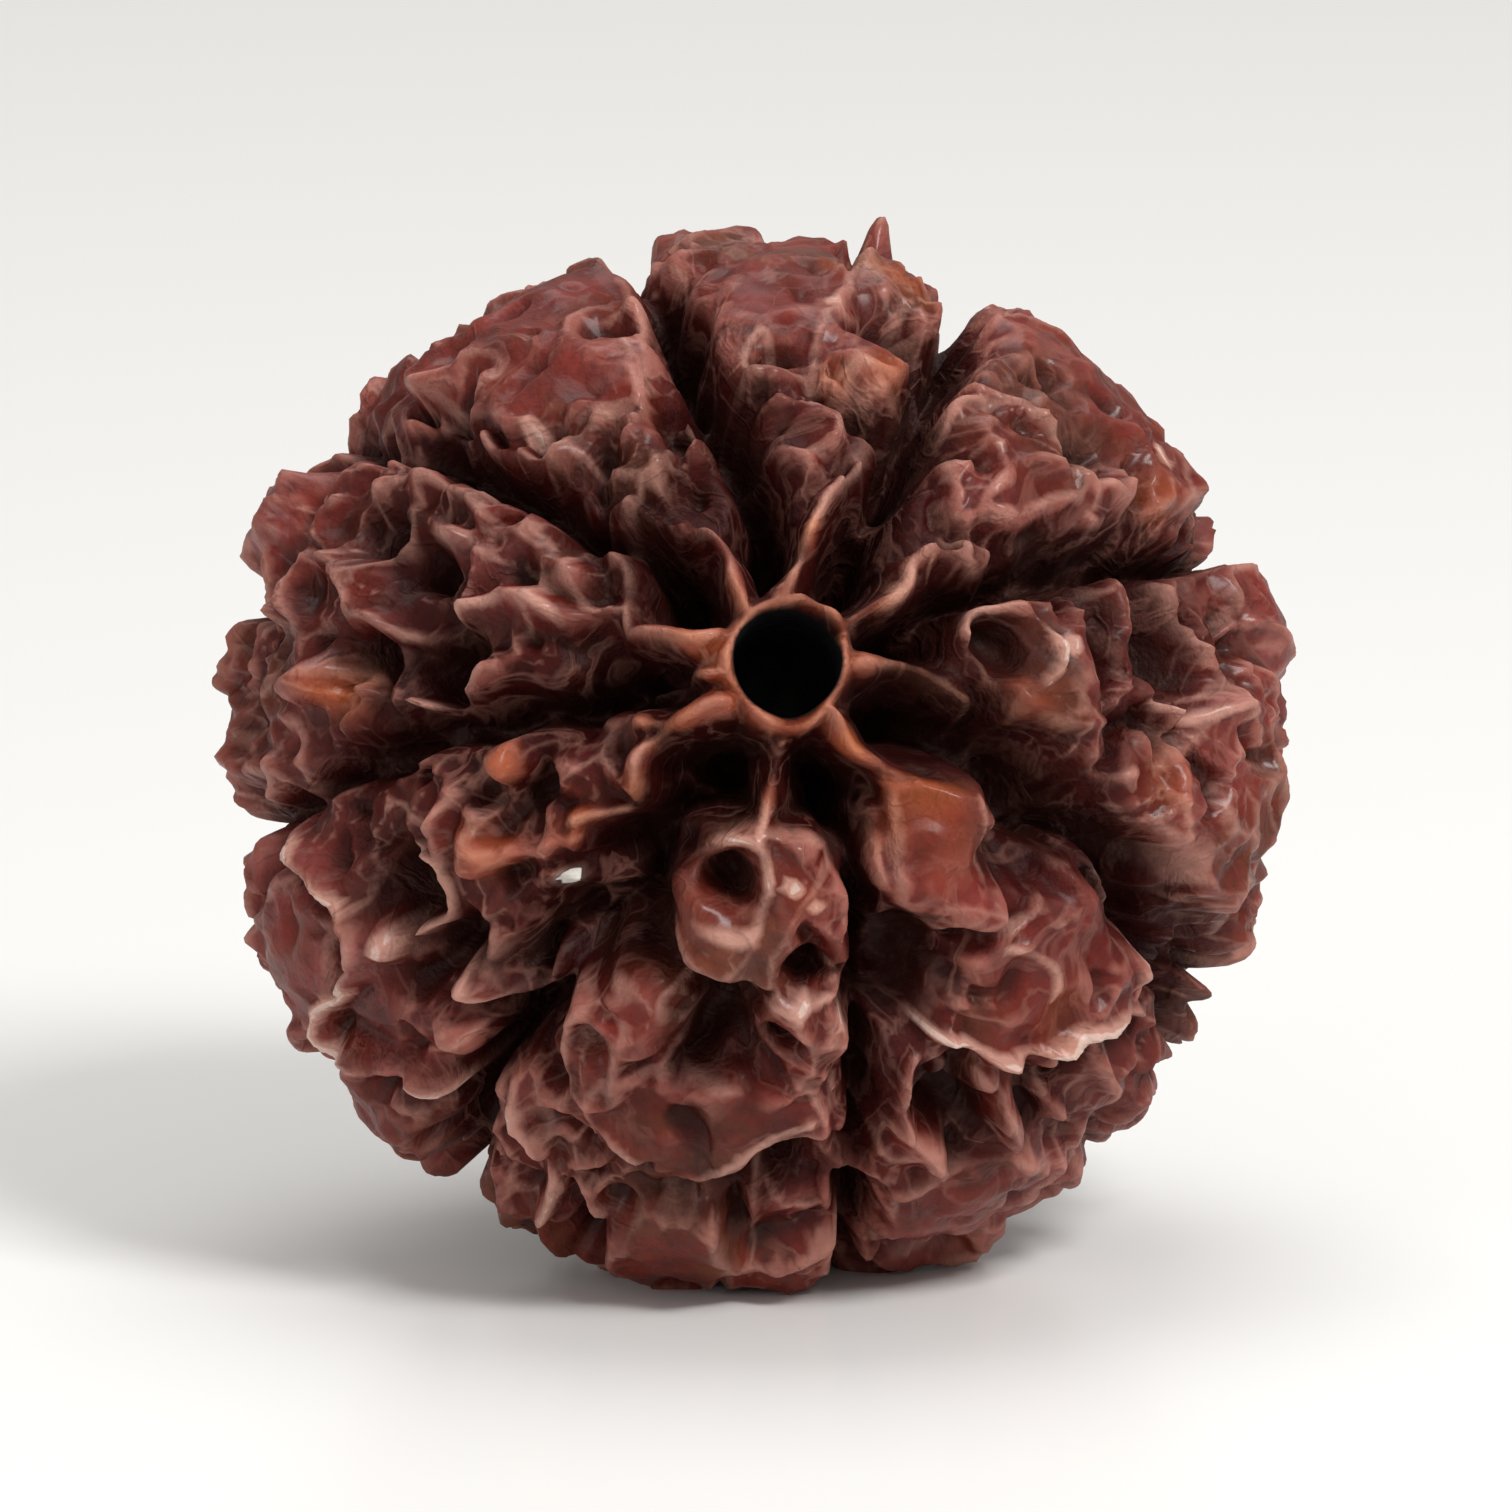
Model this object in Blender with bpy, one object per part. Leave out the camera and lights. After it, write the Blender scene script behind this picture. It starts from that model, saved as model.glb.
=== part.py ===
"""A rudraksha bead, one dry seed stone: an eight-faced, slightly flattened ball with a bore from
mouth to mouth, lying on its side with the front mouth tipped up.

The surface is raised by formula over a flattened ball. Places on it are given as the bead's own
azimuth (degrees, clockwise from the top, seen from the front mouth) and colatitude (degrees from
the front mouth). Levels are in millimetres from the flattened ball, the envelope.
"""

import math

import bpy
import numpy as np

# Driving dimensions, in metres and degrees.
EQUATOR_DIAMETER = 0.024
POLAR_RATIO = 0.88
BORE_DIAMETER = 0.0024
FRONT_POLE_TILT = 25.0
CENTRE_HEIGHT = 0.01125
CUTTER_LENGTH = 0.034
FLOOR_THICKNESS = 0.01

# The bead is turned a little about its axis, as it lies in front of the camera.
TURN = 1.9

# Relief, in millimetres from the envelope. The floor is what lies between the ridges.
FLOOR_LEVEL = -1.00
FLOOR_AT_MOUTH = -0.80
FLOOR_BEHIND = -0.50
FLOOR_UNEVEN = 0.14
FULL_GIRTH = 0.40
VALLEY_DEPTH = 0.40
VALLEY_WIDTH = 1.05
GROOVE_DEPTH = 1.05
GROOVE_BED = 0.60
GROOVE_OUTER_WIDTH = 0.42

# How far the mouths, the girth and the back reach, in degrees from the front mouth.
MOUTH_REACH = 23
GIRTH_MIDDLE = 80
GIRTH_REACH = 22
FULL_MIDDLE = 86
FULL_REACH = 24
BACK_STARTS = 76
BACK_FADE = 16
GROOVE_NARROWS = 56
GROOVE_FADE = 14
GROOVE_STARTS = 9
GROOVE_START_FADE = 8
SMOOTH_MOUTH = 14
SMOOTH_FADE = 10

# The wave lengths of the uneven places, in mm.
BROAD_WAVE = 4.5
FLANK_WAVE = 3.6
NET_WAVE = 3.0
DRIFT_WAVE = 2.6
CREST_WAVE = 2.0
PIT_WAVE = 1.8
EDGE_WAVE = 1.6
FOOT_WAVE = 2.4

# The net of low walls round pits: hardly raised in front, where the ridges are placed by hand.
NET_LEVEL_FRONT = -1.60
NET_LEVEL_BACK = -0.10
NET_MISSING = 0.50
NET_CELLS = 210
NET_SLOPE = 1.7
NET_ROUNDING = 0.34
NET_UNEVEN = 0.15
NET_SCATTER = 0.62
GOLDEN_ANGLE = 137.507764

# Ridges, swellings and pits, and how they melt into each other. The crests are softer than the
# dried stone's, because the solid has few faces.
WANDER = 0.16
CREST_UNEVEN = 0.12
END_DROP = 0.22
FLANK_SLOPE = 2.1
FLANK_VARIES = 0.30
CREST_SHARE = 0.6
SOFTER_CREST = 0.22
SWELLING_DOME = 0.18
SWELLING_TOP = 0.7
SWELLING_UNEVEN = 0.2
PIT_UNEVEN = 0.15
PIT_WALL = 0.85
BLEND = 0.08
REACH = 2.2
OVAL_REACH = 2.6

# The lips of the two mouths and the eight ridges that run out from the back one.
LIP_LEVEL = -0.60
LIP_ROUNDING = 0.12
LIP_COLATITUDES = (7.6, 172.4)
BACK_RIDGE_LEVEL = -0.20
BACK_RIDGE_ROUNDING = 0.28

# Sharp little crests over all the faces but the calm places.
CRINKLE = 0.15
CRINKLE_LENGTH = 3.0
CRINKLE_LIFT = 0.06
CRINKLE_ROUNDING = 0.15
CALM_SHARE = 0.85

# Plates: a direction that sets their flat axes, how far round them is worked out, how ragged
# their edge is, and how steep it falls and how rounded its top is.
PLATE_GRAIN = (0.3, 0.5, 1.0)
PLATE_MARGIN = 1.0
PLATE_RAGGED = 0.10
PLATE_SLOPE = 2.4
PLATE_ROUNDING = 0.18
PLATE_UNEVEN = 0.07

FINE_SUBDIVISIONS = 8
SOFTENING = 16
SOFTENING_FACTOR = 0.5
TRIANGLES = 10800
BORE_SIDES = 28
SEED = 8

R = EQUATOR_DIAMETER / 2 * 1000

# The eight grooves, front mouth to widest girth; a rule carries them on to the back mouth.
GROOVES = [
    [(355, 9), (355, 18), (352, 26), (347, 36), (346, 48), (346, 62), (345, 80)],
    [(35, 10), (33, 18), (28, 27), (27, 35), (27, 50), (26, 62), (24, 80)],
    [(76, 10), (72, 18), (67, 28), (66, 36), (65, 45), (66, 60), (68, 80)],
    [(103, 10), (106, 20), (109, 30), (114, 42), (117, 54), (120, 68), (121, 85)],
    [(158, 10), (158, 18), (160, 27), (163, 36), (166, 48), (168, 60), (170, 75), (170, 88)],
    [(212, 10), (215, 18), (218, 27), (219, 38), (219, 50), (218, 64), (217, 80)],
    [(258, 10), (262, 18), (263, 28), (262, 38), (261, 50), (259, 62), (256, 78)],
    [(312, 10), (312, 18), (310, 28), (308, 38), (307, 50), (307, 62), (306, 78)],
]

# How deep each groove is where it crosses the widest girth, 1 being as deep as by the mouth.
GROOVE_AT_GIRTH = [0.5, 1.1, 0.9, 1.9, 1.0, 1.5, 0.9, 0.4]

# Half the width of each groove on the front half, in mm.
GROOVE_HALF_WIDTHS = [0.60, 0.60, 0.60, 0.90, 0.40, 0.95, 0.55, 0.45]

# Ridges: crest level, crest rounding in mm, route.
SPOKES = [
    (-0.20, 0.22, [(0, 8), (8, 15), (11, 18), (15, 22), (20, 27)]),
    (-0.20, 0.20, [(60, 7.5), (57, 12), (53, 17), (50, 19)]),
    (-0.35, 0.26, [(50, 19), (57, 24), (62, 28), (52, 30)]),
    (-0.20, 0.20, [(92, 8.5), (93, 14), (94, 18), (97, 22), (100, 25)]),
    (-0.15, 0.28, [(140, 8), (140, 13), (135, 17), (130, 20)]),
    (-0.25, 0.19, [(180, 9), (180, 12), (187, 15), (190, 20)]),
    (-0.20, 0.23, [(235, 9), (242, 15), (244, 17), (248, 19)]),
    (-0.30, 0.22, [(242, 15), (233, 20), (228, 24)]),
    (-0.20, 0.23, [(290, 9), (282, 12), (279, 19)]),
    (-0.40, 0.20, [(260, 8), (262, 20)]),
    (-0.30, 0.25, [(280, 19), (290, 20), (302, 23), (310, 27), (318, 28)]),
    (-0.20, 0.22, [(325, 8), (330, 12), (332, 15), (330, 18), (322, 22), (318, 26)]),
]
RIDGES = [
    # First face.
    (-0.35, 0.30, [(353, 29), (0, 28), (5, 26), (7, 25)]),
    (-0.45, 0.28, [(355, 38), (354, 43), (357, 46), (359, 43), (358, 40)]),
    (0.00, 0.40, [(348, 60), (347, 68), (346.5, 76)]),
    (-0.30, 0.28, [(7, 38), (7, 49), (12, 53), (18, 55), (22, 53), (24, 48), (24, 42)]),
    (-0.30, 0.28, [(24, 42), (20, 40), (15, 41), (10, 39.5), (7, 38)]),
    (-0.50, 0.28, [(8, 36), (15, 36.5), (22, 36.5)]),
    (-0.20, 0.30, [(12, 60), (13, 68), (13, 76)]),
    # Second face.
    (-0.40, 0.28, [(35, 45), (33, 42), (31, 36)]),
    (-0.30, 0.28, [(40, 28), (45, 28), (48, 27), (52, 26), (55, 27), (60, 24)]),
    (-0.20, 0.46, [(50, 30), (47, 38), (50, 42), (53, 47), (57, 52), (57, 60)]),
    (-0.35, 0.32, [(47, 38), (43, 40), (40, 42), (35, 45)]),
    # Third face.
    (-0.16, 0.26, [(79, 23), (75, 26), (75, 30), (80, 32.5), (86, 33), (92, 33)]),
    (-0.28, 0.26, [(70, 47), (75, 47.5), (81, 47), (87, 48.5), (91, 51), (92, 56)]),
    (-0.30, 0.30, [(94, 50), (98, 48), (103, 45), (106, 43)]),
    (-0.28, 0.28, [(92, 56), (90, 60), (85, 66), (82, 70)]),
    (-0.35, 0.28, [(72, 57), (78, 60), (83, 62)]),
    (-0.30, 0.26, [(101, 68), (104, 72)]),
    (-0.30, 0.26, [(106, 60), (103, 64)]),
    (-0.30, 0.26, [(109, 65), (111, 70)]),
    # Fourth face.
    (-0.25, 0.26, [(125, 27), (129, 30), (133, 33), (137, 36)]),
    (-0.30, 0.26, [(150, 20), (152, 25), (155, 28)]),
    (-0.16, 0.24, [(117, 46), (118, 54), (121, 61), (125, 65), (128, 68)]),
    (-0.16, 0.24, [(128, 68), (136, 63), (144, 58), (149, 56), (153, 51), (158, 47)]),
    (-0.30, 0.26, [(140, 44), (137, 48), (136, 52), (137.5, 54)]),
    (-0.40, 0.26, [(131, 45), (127, 47)]),
    (-0.40, 0.30, [(134, 66), (136, 72), (136, 78)]),
    (-0.35, 0.30, [(128, 72), (126, 76)]),
    (-0.50, 0.26, [(141, 62), (143, 68), (142, 75)]),
    (-0.30, 0.26, [(160, 52), (162, 58), (161, 66), (158, 73)]),
    (-0.35, 0.26, [(152, 57), (149, 65), (150, 72)]),
    # Fifth face.
    (-0.16, 0.28, [(207, 23), (200, 21.5), (193, 22), (187, 24)]),
    (-0.16, 0.28, [(206, 26), (200, 29), (194, 31), (189, 29), (187, 26)]),
    (-0.22, 0.24, [(182, 39.5), (177, 40), (171, 40)]),
    (-0.30, 0.30, [(207, 43), (202, 42), (197, 43)]),
    (-0.35, 0.26, [(203, 51), (201, 55), (201, 60)]),
    (-0.30, 0.26, [(176, 58), (182, 59.5), (187, 65), (192, 66.5), (198, 65), (201, 62)]),
    (-0.40, 0.26, [(172, 53), (172, 58), (170, 62)]),
    (-0.35, 0.28, [(181, 67), (181, 75)]),
    (-0.40, 0.28, [(172, 70), (172, 78)]),
    (-0.40, 0.26, [(200, 66), (203, 74), (198, 79)]),
    (-0.30, 0.28, [(213, 66), (210, 70), (207, 74), (204, 80), (204, 88)]),
    # Sixth face.
    (-0.14, 0.24, [(261, 72), (256, 71), (250, 68), (244, 65), (239, 66), (237, 70), (237, 80)]),
    (-0.14, 0.24, [(237, 80), (236, 86), (232, 83), (227, 77), (223, 75), (219, 76)]),
    (-0.30, 0.26, [(258, 48), (254, 46), (250, 46), (247, 47), (244, 47), (241, 48)]),
    (-0.35, 0.26, [(228, 26), (231, 29), (234, 33)]),
    (-0.30, 0.42, [(230, 33), (236, 40), (240, 43), (245, 42)]),
    (-0.40, 0.26, [(226, 55), (222, 52), (219, 48)]),
    (-0.40, 0.26, [(231, 50), (230, 56), (226, 57)]),
    # Seventh face.
    (-0.38, 0.64, [(298, 62), (303, 59), (305, 52), (304, 43), (300, 34), (295, 28)]),
    (-0.30, 0.32, [(287, 22), (283, 26), (284, 30), (284, 38), (280, 42), (280, 50)]),
    (-0.30, 0.32, [(280, 50), (281, 58), (284, 59), (287, 61), (290, 66)]),
    (-0.30, 0.26, [(296, 53), (296, 48), (294, 43), (292, 40), (289, 39.5), (286, 40)]),
    (-0.35, 0.26, [(303, 57), (302, 50), (302, 46), (300, 41), (299, 37), (297, 33)]),
    (-0.30, 0.26, [(268, 48), (267, 45), (268, 40), (270, 36), (273, 33)]),
    (-0.30, 0.28, [(275, 63), (275, 59), (270, 56), (266, 60)]),
    (-0.35, 0.26, [(297, 70), (290, 72), (285, 72), (281, 70)]),
    (-0.30, 0.26, [(292, 82), (287, 80), (282, 74)]),
    (-0.40, 0.24, [(266, 72), (263, 76), (262, 80)]),
    # Eighth face.
    (-0.30, 0.30, [(336, 48), (335, 42), (333, 37), (331, 32), (327, 27)]),
    (-0.40, 0.28, [(339, 37), (341, 34)]),
    (-0.30, 0.28, [(312, 34), (313, 38), (314, 42), (311, 47), (312, 52), (316, 55)]),
    (-0.40, 0.26, [(322, 39), (327, 39)]),
]

# Swellings: azimuth, colatitude, half width along the girth, half height, level, all but the
# angles in mm.
SWELLINGS = [
    # First face.
    (350, 48, 0.5, 0.5, -0.55),
    (8, 33, 0.4, 0.4, -0.60),
    (18.5, 63, 0.6, 0.7, -0.65),
    # Second face.
    (36, 33, 0.4, 0.4, -0.50),
    (42, 33, 0.4, 0.4, -0.50),
    # Third face.
    (84, 40.5, 0.45, 0.4, -0.45),
    (100, 40.5, 0.4, 0.4, -0.45),
    # Fourth face.
    (123, 44, 0.5, 0.5, -0.40),
    (150, 45, 0.45, 0.45, -0.45),
    (156, 57, 0.4, 0.4, -0.50),
    # Fifth face.
    (168, 46, 0.45, 0.45, -0.45),
    # Sixth face.
    (257, 83, 1.0, 1.0, -0.15),
    (252, 35, 0.55, 0.5, -0.35),
    (238, 43, 0.5, 0.5, -0.35),
    (240, 59, 0.45, 0.45, -0.40),
    (224, 37, 0.8, 0.45, -0.50),
    (223, 64, 0.55, 0.55, -0.40),
    # Seventh face.
    (273, 64, 0.75, 0.8, -0.22),
    # Eighth face.
    (340, 29, 0.35, 0.35, -0.45),
    (312, 29, 0.4, 0.4, -0.40),
]

# Pits: azimuth, colatitude, half width along the girth, half height, depth, all but the angles
# in mm.
PITS = [
    (352, 17, 0.7, 1.2, 1.3),
    (30, 19, 0.9, 1.1, 1.3),
    (75, 14, 0.6, 0.8, 1.3),
    (111, 15, 0.7, 0.9, 1.3),
    (161, 17, 0.7, 1.1, 1.3),
    (208, 15, 0.8, 0.8, 1.3),
    (266, 16, 0.6, 0.8, 1.3),
    (305, 17, 0.8, 1.0, 1.3),
    # First face.
    (15, 50, 0.85, 0.7, 1.3),
    (20, 32, 1.03, 0.69, 0.69),
    # Second face.
    (38, 55, 0.34, 0.34, 0.69),
    (42, 57, 0.34, 0.34, 0.69),
    (39, 60, 0.34, 0.34, 0.69),
    (51, 52, 0.57, 0.57, 0.8),
    # Third face.
    (84, 26.5, 0.6, 0.6, 1.0),
    (82, 41, 1.2, 0.42, 1.1),
    (81, 53, 1.4, 0.85, 1.4),
    # Fourth face.
    (127, 34.5, 0.8, 0.69, 1.03),
    (156, 40, 0.9, 0.9, 1.1),
    (122, 38, 0.9, 1.2, 0.9),
    (155, 63, 0.75, 1.2, 1.2),
    (128, 74, 1.2, 0.7, 0.8),
    (142, 67, 1.2, 0.5, 0.7),
    # Fifth face.
    (193, 26, 0.55, 0.62, 1.3),
    (212, 34, 0.8, 1.7, 0.9),
    (192, 46, 0.7, 1.5, 0.8),
    (180, 68, 0.9, 0.6, 1.1),
    (176, 36, 0.5, 0.4, 1.1),
    (206, 52, 0.46, 0.46, 0.8),
    # Sixth face.
    (243, 56, 0.9, 0.8, 1.1),
    (232, 58, 0.5, 1.2, 1.4),
    (227, 86, 0.35, 0.6, 0.9),
    (222, 53, 0.55, 0.5, 0.8),
    (244.5, 35, 0.57, 0.69, 0.92),
    (225, 44.5, 0.69, 0.57, 0.92),
    # Seventh face.
    (291, 50, 0.75, 0.8, 1.3),
    (294.5, 59.5, 0.57, 0.63, 1.03),
    (275, 44, 0.85, 0.9, 1.4),
    (275, 56, 0.45, 0.75, 1.1),
    # Eighth face.
    (321, 34.5, 0.57, 0.46, 0.8),
    (313.5, 60, 0.4, 0.63, 0.8),
    (336.5, 54, 0.46, 0.57, 0.8),
]

# Plates: level, how much lower the edge is than the middle, and corners. Each is a flat-topped
# rise with a crisp edge.
PLATES = [
    # First face.
    (-0.42, 0.12, [(348, 42), (353, 37), (3, 38), (8, 40), (9, 60), (9, 74), (351, 76),
        (348, 62)]),
    (-0.38, 0.12, [(8, 38), (25, 38), (25, 56), (22, 67), (12, 67), (8, 56)]),
    (-0.60, 0.12, [(353, 33), (357, 28), (5, 27), (13, 28), (12, 33), (3, 34)]),
    # Second face.
    (-0.34, 0.12, [(30, 45), (39, 48), (51, 50), (59, 53), (61, 62), (60, 72), (45, 72),
        (30, 70), (28, 60)]),
    (-0.52, 0.12, [(32, 35), (40, 31), (50, 30), (54, 34), (56, 47), (50, 50), (38, 47),
        (31, 42)]),
    # Third face.
    (-0.02, 0.12, [(71, 71), (78, 70), (79, 88), (71, 88)]),
    (-0.36, 0.12, [(90, 60), (99, 54), (108, 52), (110, 60), (112, 72), (104, 76), (94, 76),
        (84, 74), (82, 72)]),
    (-0.55, 0.12, [(76, 22), (92, 24), (98, 30), (100, 42), (92, 45), (82, 44), (75, 42),
        (73, 30)]),
    # Fourth face.
    (-0.30, 0.25, [(139, 18), (146, 23), (152, 31), (149, 38), (139, 39), (131, 35),
        (124, 30), (130, 20)]),
    (-0.62, 0.12, [(118, 50), (121, 61), (129, 68), (136, 63), (149, 56), (157, 47),
        (150, 43), (127, 42), (120, 44)]),
    (-0.55, 0.25, [(151, 74), (165, 73), (166, 90), (150, 92), (145, 85)]),
    # Fifth face.
    (-0.22, 0.02, [(211, 24), (202, 20.5), (176, 21), (162, 23), (165, 29), (168, 35),
        (180, 36), (197, 36), (206, 31)]),
    (-0.42, 0.12, [(181, 36), (170, 36), (168, 47), (176, 53), (184, 45)]),
    (-0.36, 0.12, [(209, 45), (199, 41), (195, 44), (195, 52), (200, 58), (207, 60), (211, 52)]),
    (-0.52, 0.12, [(176, 53), (173, 60), (180, 60), (188, 67), (195, 68), (203, 62),
        (204, 57), (195, 53)]),
    (-0.02, 0.12, [(186, 74), (193, 74), (196, 84), (193, 94), (186, 94), (183, 82)]),
    (-0.15, 0.12, [(172, 80), (183, 83), (183, 94), (174, 94)]),
    # Sixth face.
    (-0.28, 0.3, [(251, 73), (243, 70), (238, 76), (236, 86), (240, 94), (250, 92)]),
    (-0.30, 0.3, [(231, 86), (221, 86), (221, 98), (229, 99)]),
    # Seventh face.
    (0.18, 0.2, [(292, 80), (299, 80), (300, 96), (292, 96)]),
    # Eighth face.
    (-0.38, 0.12, [(313, 57), (317, 44), (325, 40), (334, 38), (340, 50), (342, 60),
        (340, 75), (328, 77), (315, 72)]),
    (-0.55, 0.12, [(316, 40), (319, 32), (326, 26), (333, 30), (336, 36), (326, 39)]),
]

# The girth: a row of knobs where the outline is seen from the front, each an azimuth and a level,
# their half width and half height in mm, and the narrow notches between some of them.
GIRTH_KNOBS = [
    (356, -0.25), (4, -0.28), (18, -0.40), (31, -0.30), (38, -0.65), (46, -0.90), (57, -0.25),
    (72, 0.20), (80, -0.10), (90, 0.10), (99, -0.20), (107, -0.40), (120.5, 0.05), (131, -0.25),
    (141, -0.75), (154, -0.25), (162, -0.60), (174, -0.50), (186, -0.40), (204, -0.40),
    (213, -0.50), (225, 0.10), (234, -0.80), (246, 0.0), (257, -0.12), (269, 0.0), (281, -0.45),
    (296, 0.40), (303, 0.0), (314, -0.15), (323, -0.30), (331, -0.40), (339, -0.50), (349, 0.05),
]
KNOB_HALF_WIDTH = 1.0
KNOB_HALF_HEIGHT = 1.4
KNOB_SINK = 0.30
OUTLINE_TILT = 12.6
OUTLINE_SIDE = 4.5
NOTCHES = [(90, 85), (103, 88), (115, 91), (193, 101), (264, 94), (287, 90), (345, 78)]
NOTCH_HALF_WIDTH = 0.40
NOTCH_HALF_HEIGHT = 1.6
NOTCH_DEPTH = 0.9

# Calm places, without the sharp little crests: azimuth, colatitude and radius in mm.
CALM = [
    (193, 25.5, 1.7), (137, 53, 2.8), (136, 26, 2.0), (0, 53, 2.3), (328, 50, 2.1), (187, 60, 2.4),
    (160, 80, 1.6), (234, 72, 2.0), (247, 72, 1.6), (51, 40, 1.4), (16, 47, 1.4), (82, 50, 1.4),
]

# Worn knobs that it rests on: place on the floor seen from above and half width, in mm, and level.
FEET = [
    (0.0, -0.2, 1.3, 0.05), (-2.9, -2.3, 1.2, 0.30), (2.7, -2.6, 1.1, 0.28),
    (2.4, 1.6, 1.2, 0.46), (-2.3, 1.8, 1.1, 0.50),
]
FOOT_DOME = 0.45
FOOT_SLOPE = 1.4
FOOT_TOP = 0.8
UNDERSIDE = 3.0


def clear_scene():
    for obj in list(bpy.data.objects):
        bpy.data.objects.remove(obj, do_unlink=True)


def place(azimuth, colatitude):
    """The point of the unit ball at this azimuth and colatitude, as right, up and axis."""
    a = np.radians(azimuth)
    c = np.radians(colatitude)
    return np.stack([np.sin(c) * np.sin(a), np.sin(c) * np.cos(a), np.cos(c)], axis=-1)


def curve_through(points, steps=4):
    """A smooth route through the given places, on the ball of the equator's radius."""
    p = place(*np.array(points, float).T)
    p = np.vstack([2 * p[0] - p[1], p, 2 * p[-1] - p[-2]])
    t = np.arange(steps)[:, None] / steps
    rows = []
    for a, b, c, d in zip(p[:-3], p[1:-2], p[2:-1], p[3:]):
        rows.append(
            0.5 * (2 * b + (c - a) * t + (2 * a - 5 * b + 4 * c - d) * t**2
                   + (3 * b - a - 3 * c + d) * t**3)
        )
    rows.append(p[-2][None, :])
    route = np.vstack(rows)
    return route / np.linalg.norm(route, axis=1, keepdims=True) * R


def waves(points, length, seed, count=14):
    """A soft, smooth, seeded unevenness between about -1 and 1, of this wave length in mm."""
    rng = np.random.default_rng(seed)
    k = rng.normal(size=(count, 3))
    k *= (2 * np.pi / length / np.linalg.norm(k, axis=1) * rng.uniform(0.6, 1.5, count))[:, None]
    phase = rng.uniform(0, 2 * np.pi, count)
    return np.sin(points @ k.T + phase).sum(axis=1) * math.sqrt(2 / count) * 0.7


def crinkle(points, length, seed):
    """Seeded sharp little crests with round hollows between them, from about -1 up to 0.5."""
    return 0.5 - 1.5 * np.hypot(waves(points, length, seed), CRINKLE_ROUNDING)


def route_distance(points, route):
    """For points near a route: the distance from it in mm, and how far along it, 0 to 1."""
    best = np.full(len(points), 1e9)
    along = np.zeros(len(points))
    lengths = np.linalg.norm(np.diff(route, axis=0), axis=1)
    done = 0.0
    for a, b, length in zip(route[:-1], route[1:], lengths):
        t = np.clip((points - a) @ (b - a) / max(length, 1e-9) ** 2, 0, 1)
        d = np.linalg.norm(points - a - t[:, None] * (b - a), axis=1)
        near = d < best
        best[near] = d[near]
        along[near] = (done + t[near] * length) / lengths.sum()
        done += length
    return best, along


def near_route(points, route, reach):
    middle = route.mean(axis=0)
    far = np.linalg.norm(route - middle, axis=1).max() + reach
    return np.flatnonzero(((points - middle) ** 2).sum(axis=1) < far**2)


def raise_to(height, index, level):
    """Raises the height at these points to the level, rounding the inner corner."""
    old = height[index]
    high = np.maximum(old, level)
    height[index] = high + BLEND * np.log1p(np.exp(-np.abs(old - level) / BLEND))


def oval(points, azimuth, colatitude, half_width, half_height):
    """How far from an oval's middle, 1 being its edge, and which points are near it."""
    middle = place(azimuth, colatitude) * R
    a = math.radians(azimuth)
    along = np.array([math.cos(a), -math.sin(a), 0.0])
    down = np.cross(middle / R, along)
    index = near_route(points, middle[None, :], OVAL_REACH * max(half_width, half_height))
    offset = points[index] - middle
    return np.hypot(offset @ along / half_width, offset @ down / half_height), index


def plate(points, corners, dome):
    """How far points are outside a plate's edge, how far it domes down there, and which they are."""
    middle = place(*np.array(corners, float).T).mean(axis=0)
    middle *= R / np.linalg.norm(middle)
    side = np.cross(middle, PLATE_GRAIN)
    side /= np.linalg.norm(side)
    flat = np.stack([side, np.cross(middle / R, side)], axis=1)
    corner = (place(*np.array(corners, float).T) * R - middle) @ flat
    size = np.linalg.norm(corner, axis=1).max()
    index = near_route(points, middle[None, :], size + PLATE_MARGIN)
    at = (points[index] - middle) @ flat
    edge = np.full(len(index), 1e9)
    inside = np.zeros(len(index), bool)
    for a, b in zip(corner, np.roll(corner, -1, axis=0)):
        t = np.clip((at - a) @ (b - a) / ((b - a) @ (b - a)), 0, 1)
        edge = np.minimum(edge, np.linalg.norm(at - a - t[:, None] * (b - a), axis=1))
        crosses = (a[1] > at[:, 1]) != (b[1] > at[:, 1])
        inside ^= crosses & (at[:, 0] < a[0] + (at[:, 1] - a[1]) * (b[0] - a[0]) / (b[1] - a[1]))
    edge = np.where(inside, -edge, edge) + PLATE_RAGGED * waves(points[index], EDGE_WAVE, SEED + 14)
    return np.maximum(edge, 0), dome * (at**2).sum(axis=1) / size**2, index


def net(points, rng):
    """The closed net of low walls round pits, as distance from a wall and the wall's height."""
    i = np.arange(NET_CELLS) + 0.5
    seeds = place(i * GOLDEN_ANGLE, np.degrees(np.arccos(1 - 2 * i / NET_CELLS)))
    seeds = seeds * R + rng.normal(size=seeds.shape) * NET_SCATTER
    seeds *= R / np.linalg.norm(seeds, axis=1, keepdims=True)
    lift = rng.uniform(0, 1, NET_CELLS)
    distance = np.empty(len(points))
    wall = np.empty(len(points))
    for start in range(0, len(points), 20000):
        p = points[start:start + 20000]
        squared = (p**2).sum(1)[:, None] + (seeds**2).sum(1) - 2 * p @ seeds.T
        order = np.argpartition(squared, 2, axis=1)[:, :2]
        near = np.take_along_axis(squared, order, axis=1)
        swap = near[:, 0] > near[:, 1]
        order[swap] = order[swap][:, ::-1]
        near[swap] = near[swap][:, ::-1]
        gap = np.linalg.norm(seeds[order[:, 0]] - seeds[order[:, 1]], axis=1)
        distance[start:start + 20000] = (near[:, 1] - near[:, 0]) / (2 * gap)
        wall[start:start + 20000] = (lift[order[:, 0]] + lift[order[:, 1]]) % 1.0
    return distance, wall


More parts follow.
